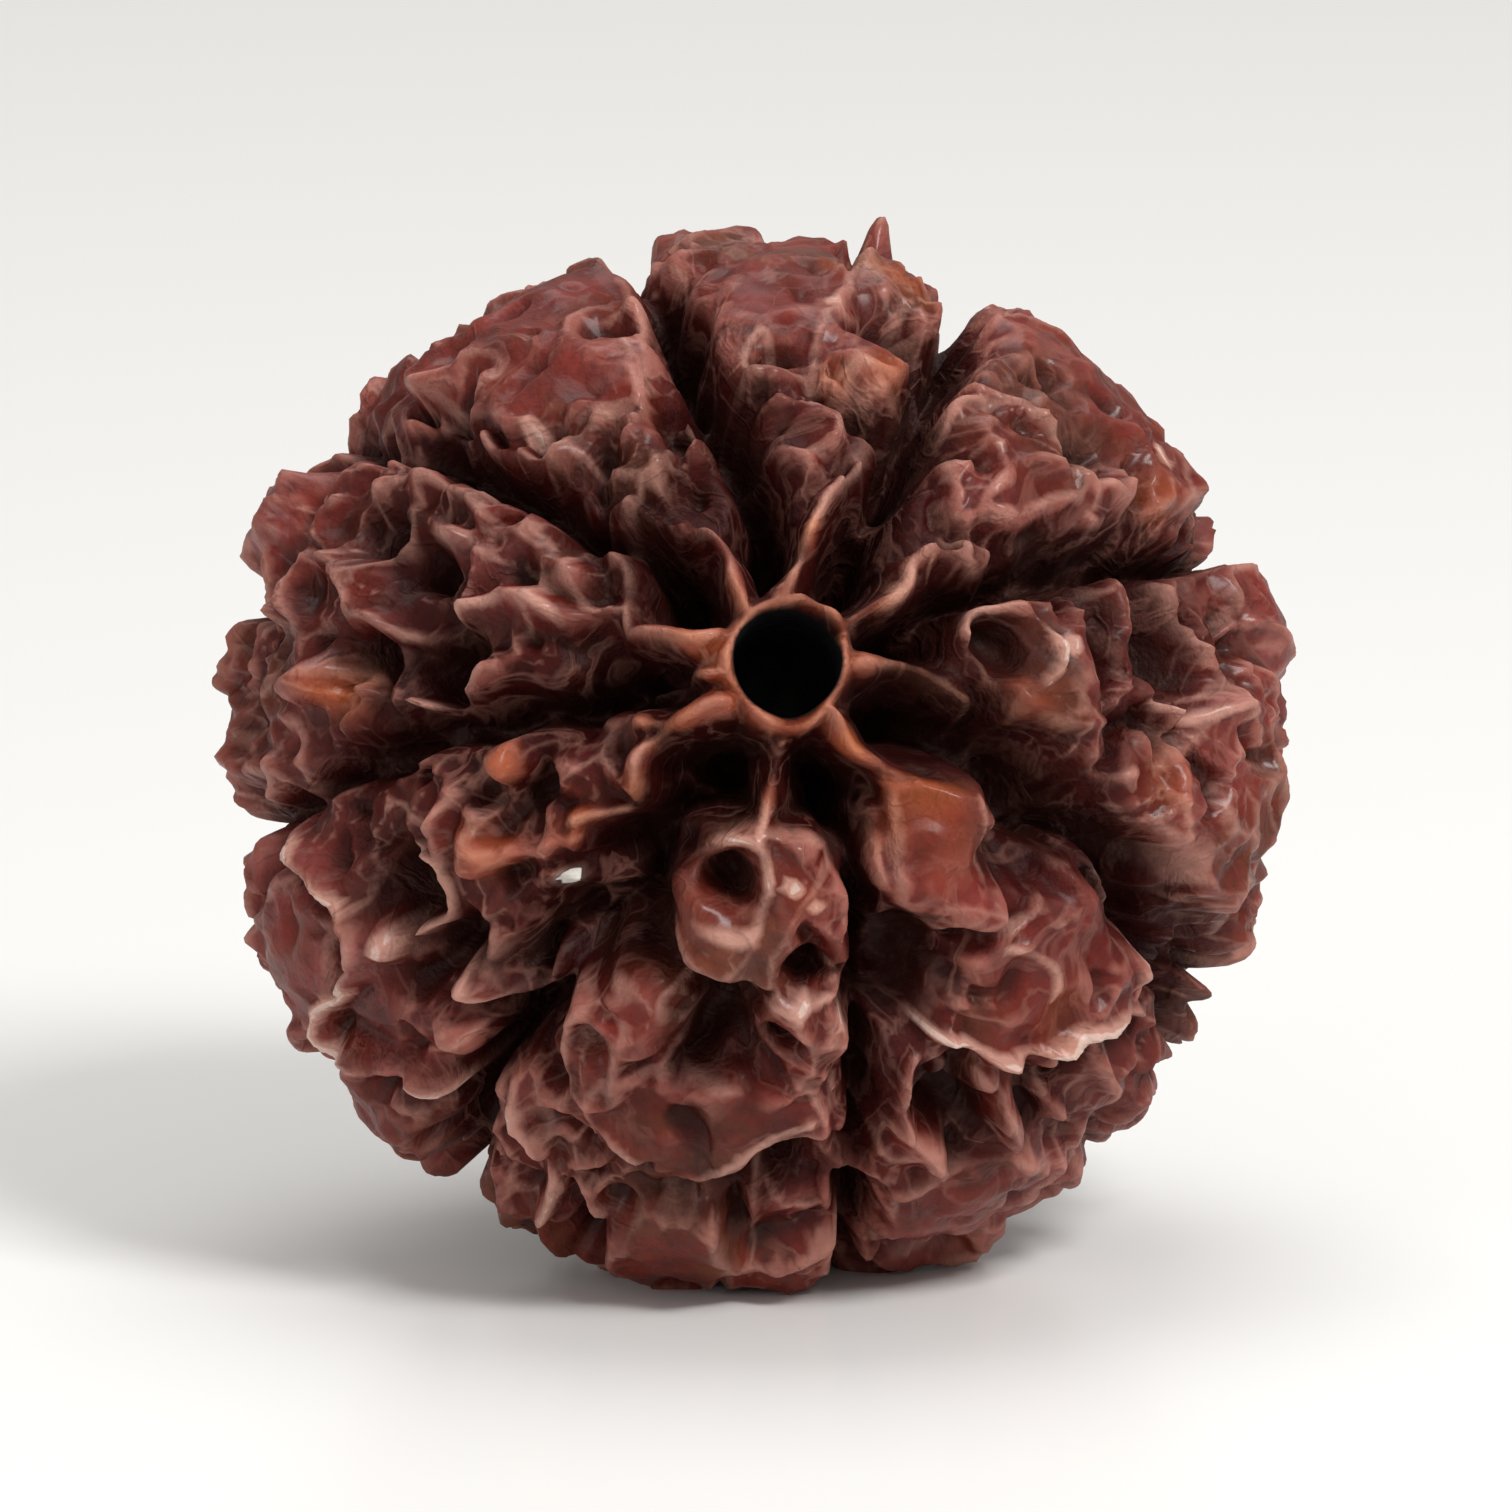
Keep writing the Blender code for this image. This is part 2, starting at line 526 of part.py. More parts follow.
def girth_knobs():
    """The knobs as swellings, and the notches as pits, on the outline seen from the front."""
    knobs = []
    for azimuth, level in GIRTH_KNOBS:
        a = math.radians(azimuth)
        edge = 90 - OUTLINE_TILT * math.cos(a) - OUTLINE_SIDE * math.sin(a)
        knobs.append((azimuth, edge, KNOB_HALF_WIDTH, KNOB_HALF_HEIGHT, level - KNOB_SINK))
    notches = [(a, c, NOTCH_HALF_WIDTH, NOTCH_HALF_HEIGHT, NOTCH_DEPTH) for a, c in NOTCHES]
    return knobs, notches


def bead_height(unit):
    """The level in mm of the surface over the envelope, in the direction of each unit point."""
    rng = np.random.default_rng(SEED)
    points = unit * R
    points = points + WANDER * np.stack([waves(points, DRIFT_WAVE, SEED + k) for k in (1, 2, 3)], axis=1)
    colatitude = np.degrees(np.arccos(np.clip(unit[:, 2], -1, 1)))
    back = np.clip((colatitude - BACK_STARTS) / BACK_FADE, 0, 1)
    back = back * back * (3 - 2 * back)
    by_mouth = np.exp(-((colatitude / MOUTH_REACH) ** 4))
    knobs, notches = girth_knobs()

    height = FLOOR_LEVEL + FLOOR_AT_MOUTH * by_mouth + FLOOR_BEHIND * back
    height += FLOOR_UNEVEN * waves(points, BROAD_WAVE, SEED + 4)
    girth = np.exp(-(((colatitude - GIRTH_MIDDLE) / GIRTH_REACH) ** 4))
    valley = np.zeros(len(points))
    channel = np.zeros(len(points))
    for number, groove in enumerate(GROOVES):
        azimuth = groove[-1][0]
        on = [
            (azimuth + 5 * math.sin(number * 2.3 + c * 0.05) - 5 * math.sin(number * 2.3 + 4.5), c)
            for c in (104, 118, 132, 146, 158, 170)
        ]
        distance, _ = route_distance(points, curve_through(groove + on))
        strength = 1 + (GROOVE_AT_GIRTH[number] - 1) * girth
        half_width = GROOVE_HALF_WIDTHS[number]
        outward = np.clip((colatitude - GROOVE_NARROWS) / GROOVE_FADE, 0, 1)
        width = half_width + (GROOVE_OUTER_WIDTH - half_width) * outward
        valley = np.maximum(valley, strength * np.exp(-((distance / VALLEY_WIDTH) ** 2)))
        channel = np.maximum(channel, strength * np.exp(-((distance / width) ** 4)))
    height -= GROOVE_BED * channel

    everywhere = np.arange(len(points))
    distance, wall = net(points, rng)
    level = NET_LEVEL_FRONT + (NET_LEVEL_BACK - NET_LEVEL_FRONT) * back - NET_MISSING * wall * back
    level = level + NET_UNEVEN * waves(points, NET_WAVE, SEED + 5)
    flank = NET_SLOPE * (np.hypot(distance, NET_ROUNDING) - NET_ROUNDING)
    raise_to(height, everywhere, level - flank)

    lean = FLANK_SLOPE * np.exp(FLANK_VARIES * waves(points, FLANK_WAVE, SEED + 12))
    lips = [[(a, c) for a in range(0, 361, 15)] for c in LIP_COLATITUDES]
    rings = [(LIP_LEVEL, LIP_ROUNDING, ring) for ring in lips]
    for k in range(8):
        azimuth = 22 + 45 * k + 9 * math.sin(k * 1.9)
        route = [(azimuth, 172), (azimuth + 5, 163), (azimuth - 4, 152)]
        rings.append((BACK_RIDGE_LEVEL, BACK_RIDGE_ROUNDING, route))
    for level, rounding, route in SPOKES + RIDGES + rings:
        route = curve_through(route)
        index = near_route(points, route, REACH)
        distance, along = route_distance(points[index], route)
        top = level + CREST_UNEVEN * waves(points[index], CREST_WAVE, SEED + 6)
        if np.linalg.norm(route[0] - route[-1]) > 0.1:
            top = top - END_DROP * np.abs(2 * along - 1) ** 4
        crest = CREST_SHARE * rounding + SOFTER_CREST
        raise_to(height, index, top - lean[index] * (np.hypot(distance, crest) - crest))
    for azimuth, colat, half_width, half_height, level in SWELLINGS + knobs:
        q, index = oval(points, azimuth, colat, half_width, half_height)
        q = q * (1 + SWELLING_UNEVEN * waves(points[index], CREST_WAVE, SEED + 8))
        steep = lean[index] * min(half_width, half_height) * np.maximum(q - SWELLING_TOP, 0)
        raise_to(height, index, level - SWELLING_DOME * q**2 - steep)

    for level, dome, corners in PLATES:
        outside, domed, index = plate(points, corners, dome)
        drop = PLATE_SLOPE * (np.hypot(outside, PLATE_ROUNDING) - PLATE_ROUNDING)
        top = level - domed + PLATE_UNEVEN * waves(points[index], FOOT_WAVE, SEED + 15)
        raise_to(height, index, top - drop)

    hollow = np.zeros(len(points))
    for azimuth, colat, half_width, half_height, depth in PITS + notches:
        q, index = oval(points, azimuth, colat, half_width, half_height)
        q = q * (1 + PIT_UNEVEN * waves(points[index], PIT_WAVE, SEED + 7))
        hollow[index] = np.maximum(hollow[index], depth * np.exp(-((PIT_WALL * q) ** 3)))
    from_mouth = np.clip((colatitude - GROOVE_STARTS) / GROOVE_START_FADE, 0, 1)
    height += FULL_GIRTH * np.exp(-(((colatitude - FULL_MIDDLE) / FULL_REACH) ** 4)) - hollow
    height -= (VALLEY_DEPTH * valley + GROOVE_DEPTH * channel) * from_mouth

    calm = np.zeros(len(points))
    for azimuth, colat, radius in CALM:
        q, index = oval(points, azimuth, colat, radius, radius)
        calm[index] = np.maximum(calm[index], np.exp(-(q**4)))
    crests = CRINKLE * crinkle(points, CRINKLE_LENGTH, SEED + 10) + CRINKLE_LIFT
    height += crests * (1 - CALM_SHARE * calm) * np.clip((colatitude - SMOOTH_MOUTH) / SMOOTH_FADE, 0, 1)
    return height


def to_world(local):
    """Turns right, up and axis into the part's frame: front mouth to -Y and tipped up."""
    t = math.radians(FRONT_POLE_TILT)
    turn = math.radians(TURN)
    level = np.array([1.0, 0.0, 0.0])
    steep = np.array([0.0, math.sin(t), math.cos(t)])
    axis = np.array([0.0, -math.cos(t), math.sin(t)])
    right = level * math.cos(turn) - steep * math.sin(turn)
    up = steep * math.cos(turn) + level * math.sin(turn)
    world = local[:, :1] * right + local[:, 1:2] * up + local[:, 2:] * axis
    return world + np.array([0.0, 0.0, CENTRE_HEIGHT * 1000])


def seed_material():
    material = bpy.data.materials.new("seed_stone")
    material.use_nodes = True
    shader = material.node_tree.nodes["Principled BSDF"]
    shader.inputs["Base Color"].default_value = (0.13, 0.035, 0.022, 1.0)
    shader.inputs["Roughness"].default_value = 0.42
    return material


def make_bead():
    bpy.ops.mesh.primitive_ico_sphere_add(subdivisions=FINE_SUBDIVISIONS, radius=1.0)
    bead = bpy.context.object
    bead.name = "bead"
    bead.data.name = "bead"
    unit = np.empty(len(bead.data.vertices) * 3, np.float32)
    bead.data.vertices.foreach_get("co", unit)
    unit = unit.reshape(-1, 3).astype(float)
    unit /= np.linalg.norm(unit, axis=1, keepdims=True)
    height = bead_height(unit)
    envelope = unit * np.array([R, R, R * POLAR_RATIO])
    outward = envelope / np.linalg.norm(envelope, axis=1, keepdims=True)
    resting = to_world(envelope)
    low = np.flatnonzero(resting[:, 2] < UNDERSIDE)
    for x, y, half_width, level in FEET:
        q = np.hypot(resting[low, 0] - x, resting[low, 1] - y) / half_width
        q = q * (1 + PIT_UNEVEN * waves(unit[low] * R, FOOT_WAVE, SEED + 9))
        fall = FOOT_DOME * q**2 + FOOT_SLOPE * half_width * np.maximum(q - FOOT_TOP, 0)
        raise_to(height, low, level - fall)
    world = to_world(envelope + outward * height[:, None]) / 1000
    bead.data.vertices.foreach_set("co", world.astype(np.float32).ravel())
    bead.data.update()
    bead.data.materials.append(seed_material())
    return bead


def thin(bead):
    soften = bead.modifiers.new("Softer", "SMOOTH")
    soften.factor = SOFTENING_FACTOR
    soften.iterations = SOFTENING
    coarse = bead.modifiers.new("Coarser", "DECIMATE")
    coarse.decimate_type = "COLLAPSE"
    coarse.ratio = TRIANGLES / len(bead.data.polygons)
    bpy.context.view_layer.objects.active = bead
    bpy.ops.object.modifier_apply(modifier=soften.name)
    bpy.ops.object.modifier_apply(modifier=coarse.name)


def cut(bead, cutter, name):
    cutter.name = name
    cutter.hide_render = True
    cutter.display_type = "WIRE"
    take = bead.modifiers.new(name, "BOOLEAN")
    take.operation = "DIFFERENCE"
    take.solver = "EXACT"
    take.object = cutter


def main():
    clear_scene()
    bead = make_bead()
    thin(bead)

    bpy.ops.mesh.primitive_cylinder_add(
        vertices=BORE_SIDES,
        radius=BORE_DIAMETER / 2,
        depth=CUTTER_LENGTH,
        location=(0, 0, CENTRE_HEIGHT),
        rotation=(math.radians(90 - FRONT_POLE_TILT), 0, 0),
    )
    cut(bead, bpy.context.object, "bore_cutter")
    bpy.ops.mesh.primitive_cube_add(size=1, location=(0, 0, -FLOOR_THICKNESS / 2))
    floor = bpy.context.object
    floor.scale = (CUTTER_LENGTH, CUTTER_LENGTH, FLOOR_THICKNESS)
    cut(bead, floor, "floor_cutter")


main()
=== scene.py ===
import math

import bpy
import numpy as np
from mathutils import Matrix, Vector


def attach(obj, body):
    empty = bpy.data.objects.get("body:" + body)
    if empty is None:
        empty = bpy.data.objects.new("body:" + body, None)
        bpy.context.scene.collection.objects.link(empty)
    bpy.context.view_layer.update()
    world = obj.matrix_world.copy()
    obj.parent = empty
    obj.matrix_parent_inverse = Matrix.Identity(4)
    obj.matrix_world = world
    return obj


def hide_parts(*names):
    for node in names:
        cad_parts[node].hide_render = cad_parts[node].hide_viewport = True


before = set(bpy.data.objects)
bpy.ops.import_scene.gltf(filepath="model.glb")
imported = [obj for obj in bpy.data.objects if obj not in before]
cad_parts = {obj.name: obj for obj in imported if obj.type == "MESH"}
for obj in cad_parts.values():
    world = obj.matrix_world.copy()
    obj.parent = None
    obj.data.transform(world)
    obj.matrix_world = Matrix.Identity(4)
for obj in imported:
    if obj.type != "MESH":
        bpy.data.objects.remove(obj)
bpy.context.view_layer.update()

# The stone: a dried seed stone of the rudraksha tree, one slightly flattened ball of hard wood.
# Places on it are an azimuth in degrees, clockwise from the top seen from the front mouth, and a
# colatitude in degrees from that mouth. Lengths, and levels over the ball, are in millimetres.
GIRTH_RADIUS = 12.0
POLE_RATIO = 0.88
SEED = 8
BED_LEVEL = -1.00
DEEPER_BY_MOUTH = 0.80
DEEPER_BEHIND = 0.5
BED_UNEVENNESS = 0.14
WANDER = 0.16
MOUTH_REACH = 23
BACK_FROM = 76
BACK_BLEND = 16
GIRTH_MIDDLE = 80
GIRTH_REACH = 22

bpy.ops.object.select_all(action="DESELECT")
bpy.ops.mesh.primitive_ico_sphere_add(subdivisions=8, radius=1.0)
stone = bpy.context.object
stone.name = "seed_stone"
unit = np.empty(len(stone.data.vertices) * 3, np.float32)
stone.data.vertices.foreach_get("co", unit)
unit = unit.reshape(-1, 3).astype(float)
unit /= np.linalg.norm(unit, axis=1, keepdims=True)


def waves(at, length, seed, count=14):
    """A soft seeded unevenness between about -1 and 1, of this wave length in millimetres."""
    rng = np.random.default_rng(seed)
    k = rng.normal(size=(count, 3))
    k *= (2 * np.pi / length / np.linalg.norm(k, axis=1) * rng.uniform(0.6, 1.5, count))[:, None]
    phase = rng.uniform(0, 2 * np.pi, count)
    return np.sin(at @ k.T + phase).sum(axis=1) * math.sqrt(2 / count) * 0.7


def wandering(ball):
    """The same places, pushed a little to and fro, so that nothing grown runs quite true."""
    drift = [waves(ball, 2.6, SEED + k) for k in (1, 2, 3)]
    return ball + WANDER * np.stack(drift, axis=1)


ground = wandering(unit * GIRTH_RADIUS)
colatitude = np.degrees(np.arccos(np.clip(unit[:, 2], -1, 1)))
by_mouth = np.exp(-((colatitude / MOUTH_REACH) ** 4))
behind = np.clip((colatitude - BACK_FROM) / BACK_BLEND, 0, 1)
behind = behind * behind * (3 - 2 * behind)
girth = np.exp(-(((colatitude - GIRTH_MIDDLE) / GIRTH_REACH) ** 4))
bed = BED_LEVEL - DEEPER_BY_MOUTH * by_mouth - DEEPER_BEHIND * behind
bed += BED_UNEVENNESS * waves(ground, 4.5, SEED + 4)
NOTHING_RAISED = -9.0
raised = np.full(len(ground), NOTHING_RAISED)
hollow = np.zeros(len(ground))

# The grooves: the eight seams of the stone, each a narrow valley from the front mouth over the
# girth to the back mouth. They part the eight faces, and are deepest and blackest by the mouth.
GROOVES = [
    [(355, 9), (355, 18), (352, 26), (347, 36), (346, 48), (346, 62), (345, 80)],
    [(35, 10), (33, 18), (28, 27), (27, 35), (27, 50), (26, 62), (24, 80)],
    [(76, 10), (72, 18), (67, 28), (66, 36), (65, 45), (66, 60), (68, 80)],
    [(103, 10), (106, 20), (109, 30), (114, 42), (117, 54), (120, 68), (121, 85)],
    [(158, 10), (158, 18), (160, 27), (163, 36), (166, 48), (168, 60), (170, 75), (170, 88)],
    [(212, 10), (215, 18), (218, 27), (219, 38), (219, 50), (218, 64), (217, 80)],
    [(258, 10), (262, 18), (263, 28), (262, 38), (262, 50), (261, 62), (259.5, 78)],
    [(312, 10), (312, 18), (310, 28), (308, 38), (307, 50), (307, 62), (306, 78)],
]
DEPTH_AT_GIRTH = [0.5, 1.1, 0.9, 1.9, 1.0, 1.5, 0.9, 0.4]
HALF_WIDTHS = [0.60, 0.60, 0.60, 0.90, 0.40, 0.95, 0.55, 0.45]
HALF_WIDTH_BEHIND = 0.42
VALLEY_HALF_WIDTH = 1.05
CUT_IN_BED = 0.6
GOES_ON_AT = (90, 104, 118, 132, 146, 158, 170)
SWAY_DEGREES = 5


def place(azimuth, colatitude):
    a = np.radians(azimuth)
    c = np.radians(colatitude)
    return np.stack([np.sin(c) * np.sin(a), np.sin(c) * np.cos(a), np.cos(c)], axis=-1)


def curve_through(points, steps=4):
    """A smooth route through the given places, on the ball of the girth's radius."""
    p = place(*np.array(points, float).T)
    p = np.vstack([2 * p[0] - p[1], p, 2 * p[-1] - p[-2]])
    t = np.arange(steps)[:, None] / steps
    rows = []
    for a, b, c, d in zip(p[:-3], p[1:-2], p[2:-1], p[3:]):
        bend = (2 * a - 5 * b + 4 * c - d) * t**2 + (3 * b - a - 3 * c + d) * t**3
        rows.append(0.5 * (2 * b + (c - a) * t + bend))
    rows.append(p[-2][None, :])
    route = np.vstack(rows)
    return route / np.linalg.norm(route, axis=1, keepdims=True) * GIRTH_RADIUS


def route_distance(at, route):
    """How far each place is from a route, in millimetres, and how far along it, from 0 to 1."""
    best = np.full(len(at), 1e9)
    along = np.zeros(len(at))
    lengths = np.linalg.norm(np.diff(route, axis=0), axis=1)
    done = 0.0
    for a, b, length in zip(route[:-1], route[1:], lengths):
        t = np.clip((at - a) @ (b - a) / max(length, 1e-9) ** 2, 0, 1)
        d = np.linalg.norm(at - a - t[:, None] * (b - a), axis=1)
        near = d < best
        best[near] = d[near]
        along[near] = (done + t[near] * length) / lengths.sum()
        done += length
    return best, along


def groove_route(number):
    """A groove's whole route: as listed in front, then with a slow sway on to the back mouth."""
    groove = GROOVES[number]
    azimuth = groove[-1][0]
    sway = [SWAY_DEGREES * math.sin(number * 2.3 + c * 0.05) for c in GOES_ON_AT]
    rest = [(azimuth + s - sway[0], c) for s, c in zip(sway[1:], GOES_ON_AT[1:])]
    return curve_through(groove + rest)


valley = np.zeros(len(ground))
channel = np.zeros(len(ground))
for number, (at_girth, half_width) in enumerate(zip(DEPTH_AT_GIRTH, HALF_WIDTHS)):
    distance, _ = route_distance(ground, groove_route(number))
    strength = 1 + (at_girth - 1) * girth
    valley = np.maximum(valley, strength * np.exp(-((distance / VALLEY_HALF_WIDTH) ** 2)))
    narrowing = np.clip((colatitude - 56) / 14, 0, 1)
    narrow = half_width + (HALF_WIDTH_BEHIND - half_width) * narrowing
    channel = np.maximum(channel, strength * np.exp(-((distance / narrow) ** 4)))
bed -= CUT_IN_BED * channel

# The back and the spaces between the ridges: a closed net of low walls round small pits. It is
# hardly raised in front, where the ridges that follow stand over it, and full height behind.
PIT_COUNT = 210
PIT_SCATTER = 0.62
GOLDEN_ANGLE = 137.507764
WALL_TOP_IN_FRONT = -1.6
HIGHER_BEHIND = 1.5
BROKEN_DOWN_BY = 0.5
WALL_UNEVENNESS = 0.15
WALL_SLOPE = 1.7
WALL_ROUNDING = 0.28
PLACES_AT_ONCE = 20000


def melt(old, new, over=0.08):
    """The higher of two levels, with the inner corner between them rounded."""
    return np.maximum(old, new) + over * np.log1p(np.exp(-np.abs(old - new) / over))


def net(at):
    """How far each place is from the nearest wall of the net, and how broken down that wall is."""
    rng = np.random.default_rng(SEED)
    i = np.arange(PIT_COUNT) + 0.5
    pits = place(i * GOLDEN_ANGLE, np.degrees(np.arccos(1 - 2 * i / PIT_COUNT)))
    pits = pits * GIRTH_RADIUS + rng.normal(size=pits.shape) * PIT_SCATTER
    pits *= GIRTH_RADIUS / np.linalg.norm(pits, axis=1, keepdims=True)
    lift = rng.uniform(0, 1, PIT_COUNT)
    distance = np.empty(len(at))
    wall = np.empty(len(at))
    for start in range(0, len(at), PLACES_AT_ONCE):
        these = slice(start, start + PLACES_AT_ONCE)
        p = at[these]
        squared = (p**2).sum(1)[:, None] + (pits**2).sum(1) - 2 * p @ pits.T
        order = np.argpartition(squared, 2, axis=1)[:, :2]
        near = np.take_along_axis(squared, order, axis=1)
        swap = near[:, 0] > near[:, 1]
        order[swap] = order[swap][:, ::-1]
        near[swap] = near[swap][:, ::-1]
        gap = np.linalg.norm(pits[order[:, 0]] - pits[order[:, 1]], axis=1)
        distance[these] = (near[:, 1] - near[:, 0]) / (2 * gap)
        wall[these] = (lift[order[:, 0]] + lift[order[:, 1]]) % 1.0
    return distance, wall


distance, wall = net(ground)
crest = WALL_TOP_IN_FRONT + HIGHER_BEHIND * behind - BROKEN_DOWN_BY * wall * behind
crest += WALL_UNEVENNESS * waves(ground, 3.0, SEED + 5)
flank = WALL_SLOPE * (np.hypot(distance, WALL_ROUNDING) - WALL_ROUNDING)
raised = melt(raised, crest - flank)

# The mouths: a thin lip round each end of the bore, and thin walls of wood that run out from it
# to the faces like spokes, with a deep black hollow in each space between two of them. A ridge is
# a wall along a route, and a pit is pressed into whatever stands there.
RIDGE_REACH = 2.2
CREST_UNEVENNESS = 0.16
ENDS_LOWER_BY = 0.22
lean = np.exp(0.45 * waves(ground, 3.6, SEED + 12))


def near_to(route, reach):
    """Which places are within reach of some part of a route, or a little further off."""
    middle = route.mean(axis=0)
    far = np.linalg.norm(route - middle, axis=1).max() + reach
    return np.flatnonzero(((ground - middle) ** 2).sum(axis=1) < far**2)


crests = []


def ridge(level, rounding, route, slope=2.3, worn=0.5):
    """A wall along a route. How pale its crest is worn is kept for the colouring."""
    route = curve_through(route)
    crests.append((route, worn))
    here = near_to(route, RIDGE_REACH)
    distance, along = route_distance(ground[here], route)
    top = level + CREST_UNEVENNESS * waves(ground[here], 2.0, SEED + 6)
    if np.linalg.norm(route[0] - route[-1]) > 0.1:
        top = top - ENDS_LOWER_BY * np.abs(2 * along - 1) ** 4
    flank = slope * lean[here] * (np.hypot(distance, 0.6 * rounding) - 0.6 * rounding)
    raised[here] = melt(raised[here], top - flank)


def oval(azimuth, colat, half_width, half_height):
    """How far places are from an oval's middle, 1 being its edge, and which places are near."""
    middle = place(azimuth, colat) * GIRTH_RADIUS
    a = math.radians(azimuth)
    along = np.array([math.cos(a), -math.sin(a), 0.0])
    down = np.cross(middle / GIRTH_RADIUS, along)
    here = near_to(middle[None, :], 2.6 * max(half_width, half_height))
    offset = ground[here] - middle
    return np.hypot(offset @ along / half_width, offset @ down / half_height), here


def pit(azimuth, colat, half_width, half_height, depth):
    q, here = oval(azimuth, colat, half_width, half_height)
    q = q * (1 + 0.15 * waves(ground[here], 1.8, SEED + 7))
    hollow[here] = np.maximum(hollow[here], depth * np.exp(-((0.85 * q) ** 3)))


for mouth in (7.0, 173.0):
    ridge(-0.62, 0.12, [(azimuth, mouth) for azimuth in range(0, 361, 15)], 2.2)
ridge(-0.20, 0.12, [(0, 8), (8, 15), (11, 18), (15, 22), (20, 27)], 3.2, 0.9)
ridge(-0.20, 0.10, [(60, 7.5), (57, 12), (53, 17), (50, 19)], 3.2, 0.9)
ridge(-0.35, 0.16, [(50, 19), (57, 24), (62, 28), (52, 30)], 2.6)
ridge(-0.20, 0.10, [(92, 8.5), (93, 14), (94, 18), (97, 22), (100, 25)], 3.2, 0.9)
ridge(-0.15, 0.18, [(140, 8), (140, 13), (135, 17), (130, 20)], 2.8)
ridge(-0.25, 0.09, [(180, 9), (180, 12), (187, 15), (190, 20)], 3.4, 0.9)
ridge(-0.20, 0.13, [(235, 9), (242, 15), (244, 17), (248, 19)], 3.0)
ridge(-0.30, 0.12, [(242, 15), (233, 20), (228, 24)], 2.8)
ridge(-0.20, 0.13, [(290, 9), (282, 12), (279, 19)], 3.0)
ridge(-0.40, 0.10, [(260, 8), (262, 20)], 3.0)
ridge(-0.30, 0.15, [(280, 19), (290, 20), (302, 23), (310, 27), (318, 28)], 2.8)
ridge(-0.20, 0.12, [(325, 8), (330, 12), (332, 15), (330, 18), (322, 22), (318, 26)], 3.0)
for number in range(8):
    azimuth = 22 + 45 * number + 9 * math.sin(number * 1.9)
    ridge(-0.20, 0.26, [(azimuth, 172), (azimuth + 5, 163), (azimuth - 4, 152)])
pit(352, 17, 0.7, 1.2, 1.3)
pit(30, 19, 0.9, 1.1, 1.3)
pit(75, 14, 0.6, 0.8, 1.3)
pit(111, 15, 0.7, 0.9, 1.3)
pit(161, 17, 0.7, 1.1, 1.3)
pit(208, 15, 0.8, 0.8, 1.3)
pit(266, 16, 0.6, 0.8, 1.3)
pit(305, 17, 0.8, 1.0, 1.3)

# The first face, at the top: a smooth dome, a deep pit to its right with an orange ledge under
# it, and a small thorn on the girth. As on all eight faces, a plate is a flat-topped rise with a
# low crisp rim, where the wood grew flat against the fruit's flesh, and a swelling is a knob.
KNOB_SIDE_SLOPE = 2.1
KNOB_DOME = 0.18
RIM_HEIGHT = 0.09
RIM_HALF_WIDTH = 0.14
RIM_ROUNDING = 0.06
PLATE_WORN = 0.45


def swelling(azimuth, colat, half_width, half_height, level):
    q, here = oval(azimuth, colat, half_width, half_height)
    q = q * (1 + 0.2 * waves(ground[here], 2.0, SEED + 8))
    steep = KNOB_SIDE_SLOPE * lean[here] * min(half_width, half_height) * np.maximum(q - 0.7, 0)
    raised[here] = melt(raised[here], level - KNOB_DOME * q**2 - steep)


def plate(level, corners, dome=0.12, slope=2.4):
    """A flat-topped rise inside these corners, with a low crisp rim along its edge."""
    p = place(*np.array(corners, float).T) * GIRTH_RADIUS
    crests.append((np.vstack([p, p[:1]]), PLATE_WORN))
    middle = p.mean(axis=0)
    middle *= GIRTH_RADIUS / np.linalg.norm(middle)
    side = np.cross(middle, [0.3, 0.5, 1.0])
    side /= np.linalg.norm(side)
    flat = np.stack([side, np.cross(middle / GIRTH_RADIUS, side)], axis=1)
    p = (p - middle) @ flat
    reach = np.linalg.norm(p, axis=1).max()
    here = near_to(middle[None, :], reach + 1.0)
    at = (ground[here] - middle) @ flat
    edge = np.full(len(here), 1e9)
    inside = np.zeros(len(here), bool)
    for a, b in zip(p, np.roll(p, -1, axis=0)):
        t = np.clip((at - a) @ (b - a) / ((b - a) @ (b - a)), 0, 1)
        edge = np.minimum(edge, np.linalg.norm(at - a - t[:, None] * (b - a), axis=1))
        crosses = (a[1] > at[:, 1]) != (b[1] > at[:, 1])
        left = at[:, 0] < a[0] + (at[:, 1] - a[1]) * (b[0] - a[0]) / (b[1] - a[1] + 1e-12)
        inside ^= crosses & left
    outside = np.where(inside, -edge, edge) + 0.10 * waves(ground[here], 1.6, SEED + 14)
    drop = slope * lean[here] * (np.hypot(np.maximum(outside, 0), RIM_ROUNDING) - RIM_ROUNDING)
    drop -= RIM_HEIGHT * np.exp(-(((outside + 0.05) / RIM_HALF_WIDTH) ** 2))
    top = level - dome * (at**2).sum(axis=1) / reach**2
    top += 0.07 * waves(ground[here], 2.4, SEED + 15)
    raised[here] = melt(raised[here], top - drop)


plate(-0.42, [(348, 42), (353, 37), (3, 38), (8, 40), (9, 60), (9, 74), (351, 76), (348, 62)])
plate(-0.38, [(8, 38), (25, 38), (25, 56), (22, 67), (12, 67), (8, 56)])
plate(-0.60, [(353, 33), (357, 28), (5, 27), (13, 28), (12, 33), (3, 34)])
swelling(350, 48, 0.5, 0.5, -0.55)
swelling(8, 33, 0.4, 0.4, -0.60)
swelling(18.5, 63, 0.6, 0.7, -0.65)
ridge(-0.35, 0.26, [(353, 29), (0, 28), (5, 26), (7, 25)])
ridge(-0.45, 0.24, [(355, 38), (354, 43), (357, 46), (359, 43), (358, 40)])
ridge(0.00, 0.36, [(348, 60), (347, 68), (346.5, 76)])
ridge(-0.30, 0.24, [(7, 38), (7, 49), (12, 53), (18, 55), (22, 53), (24, 48), (24, 42)])
ridge(-0.20, 0.14, [(25, 44), (21, 42), (15, 41), (10, 39.5), (6, 38)], 4.5, 0.6)
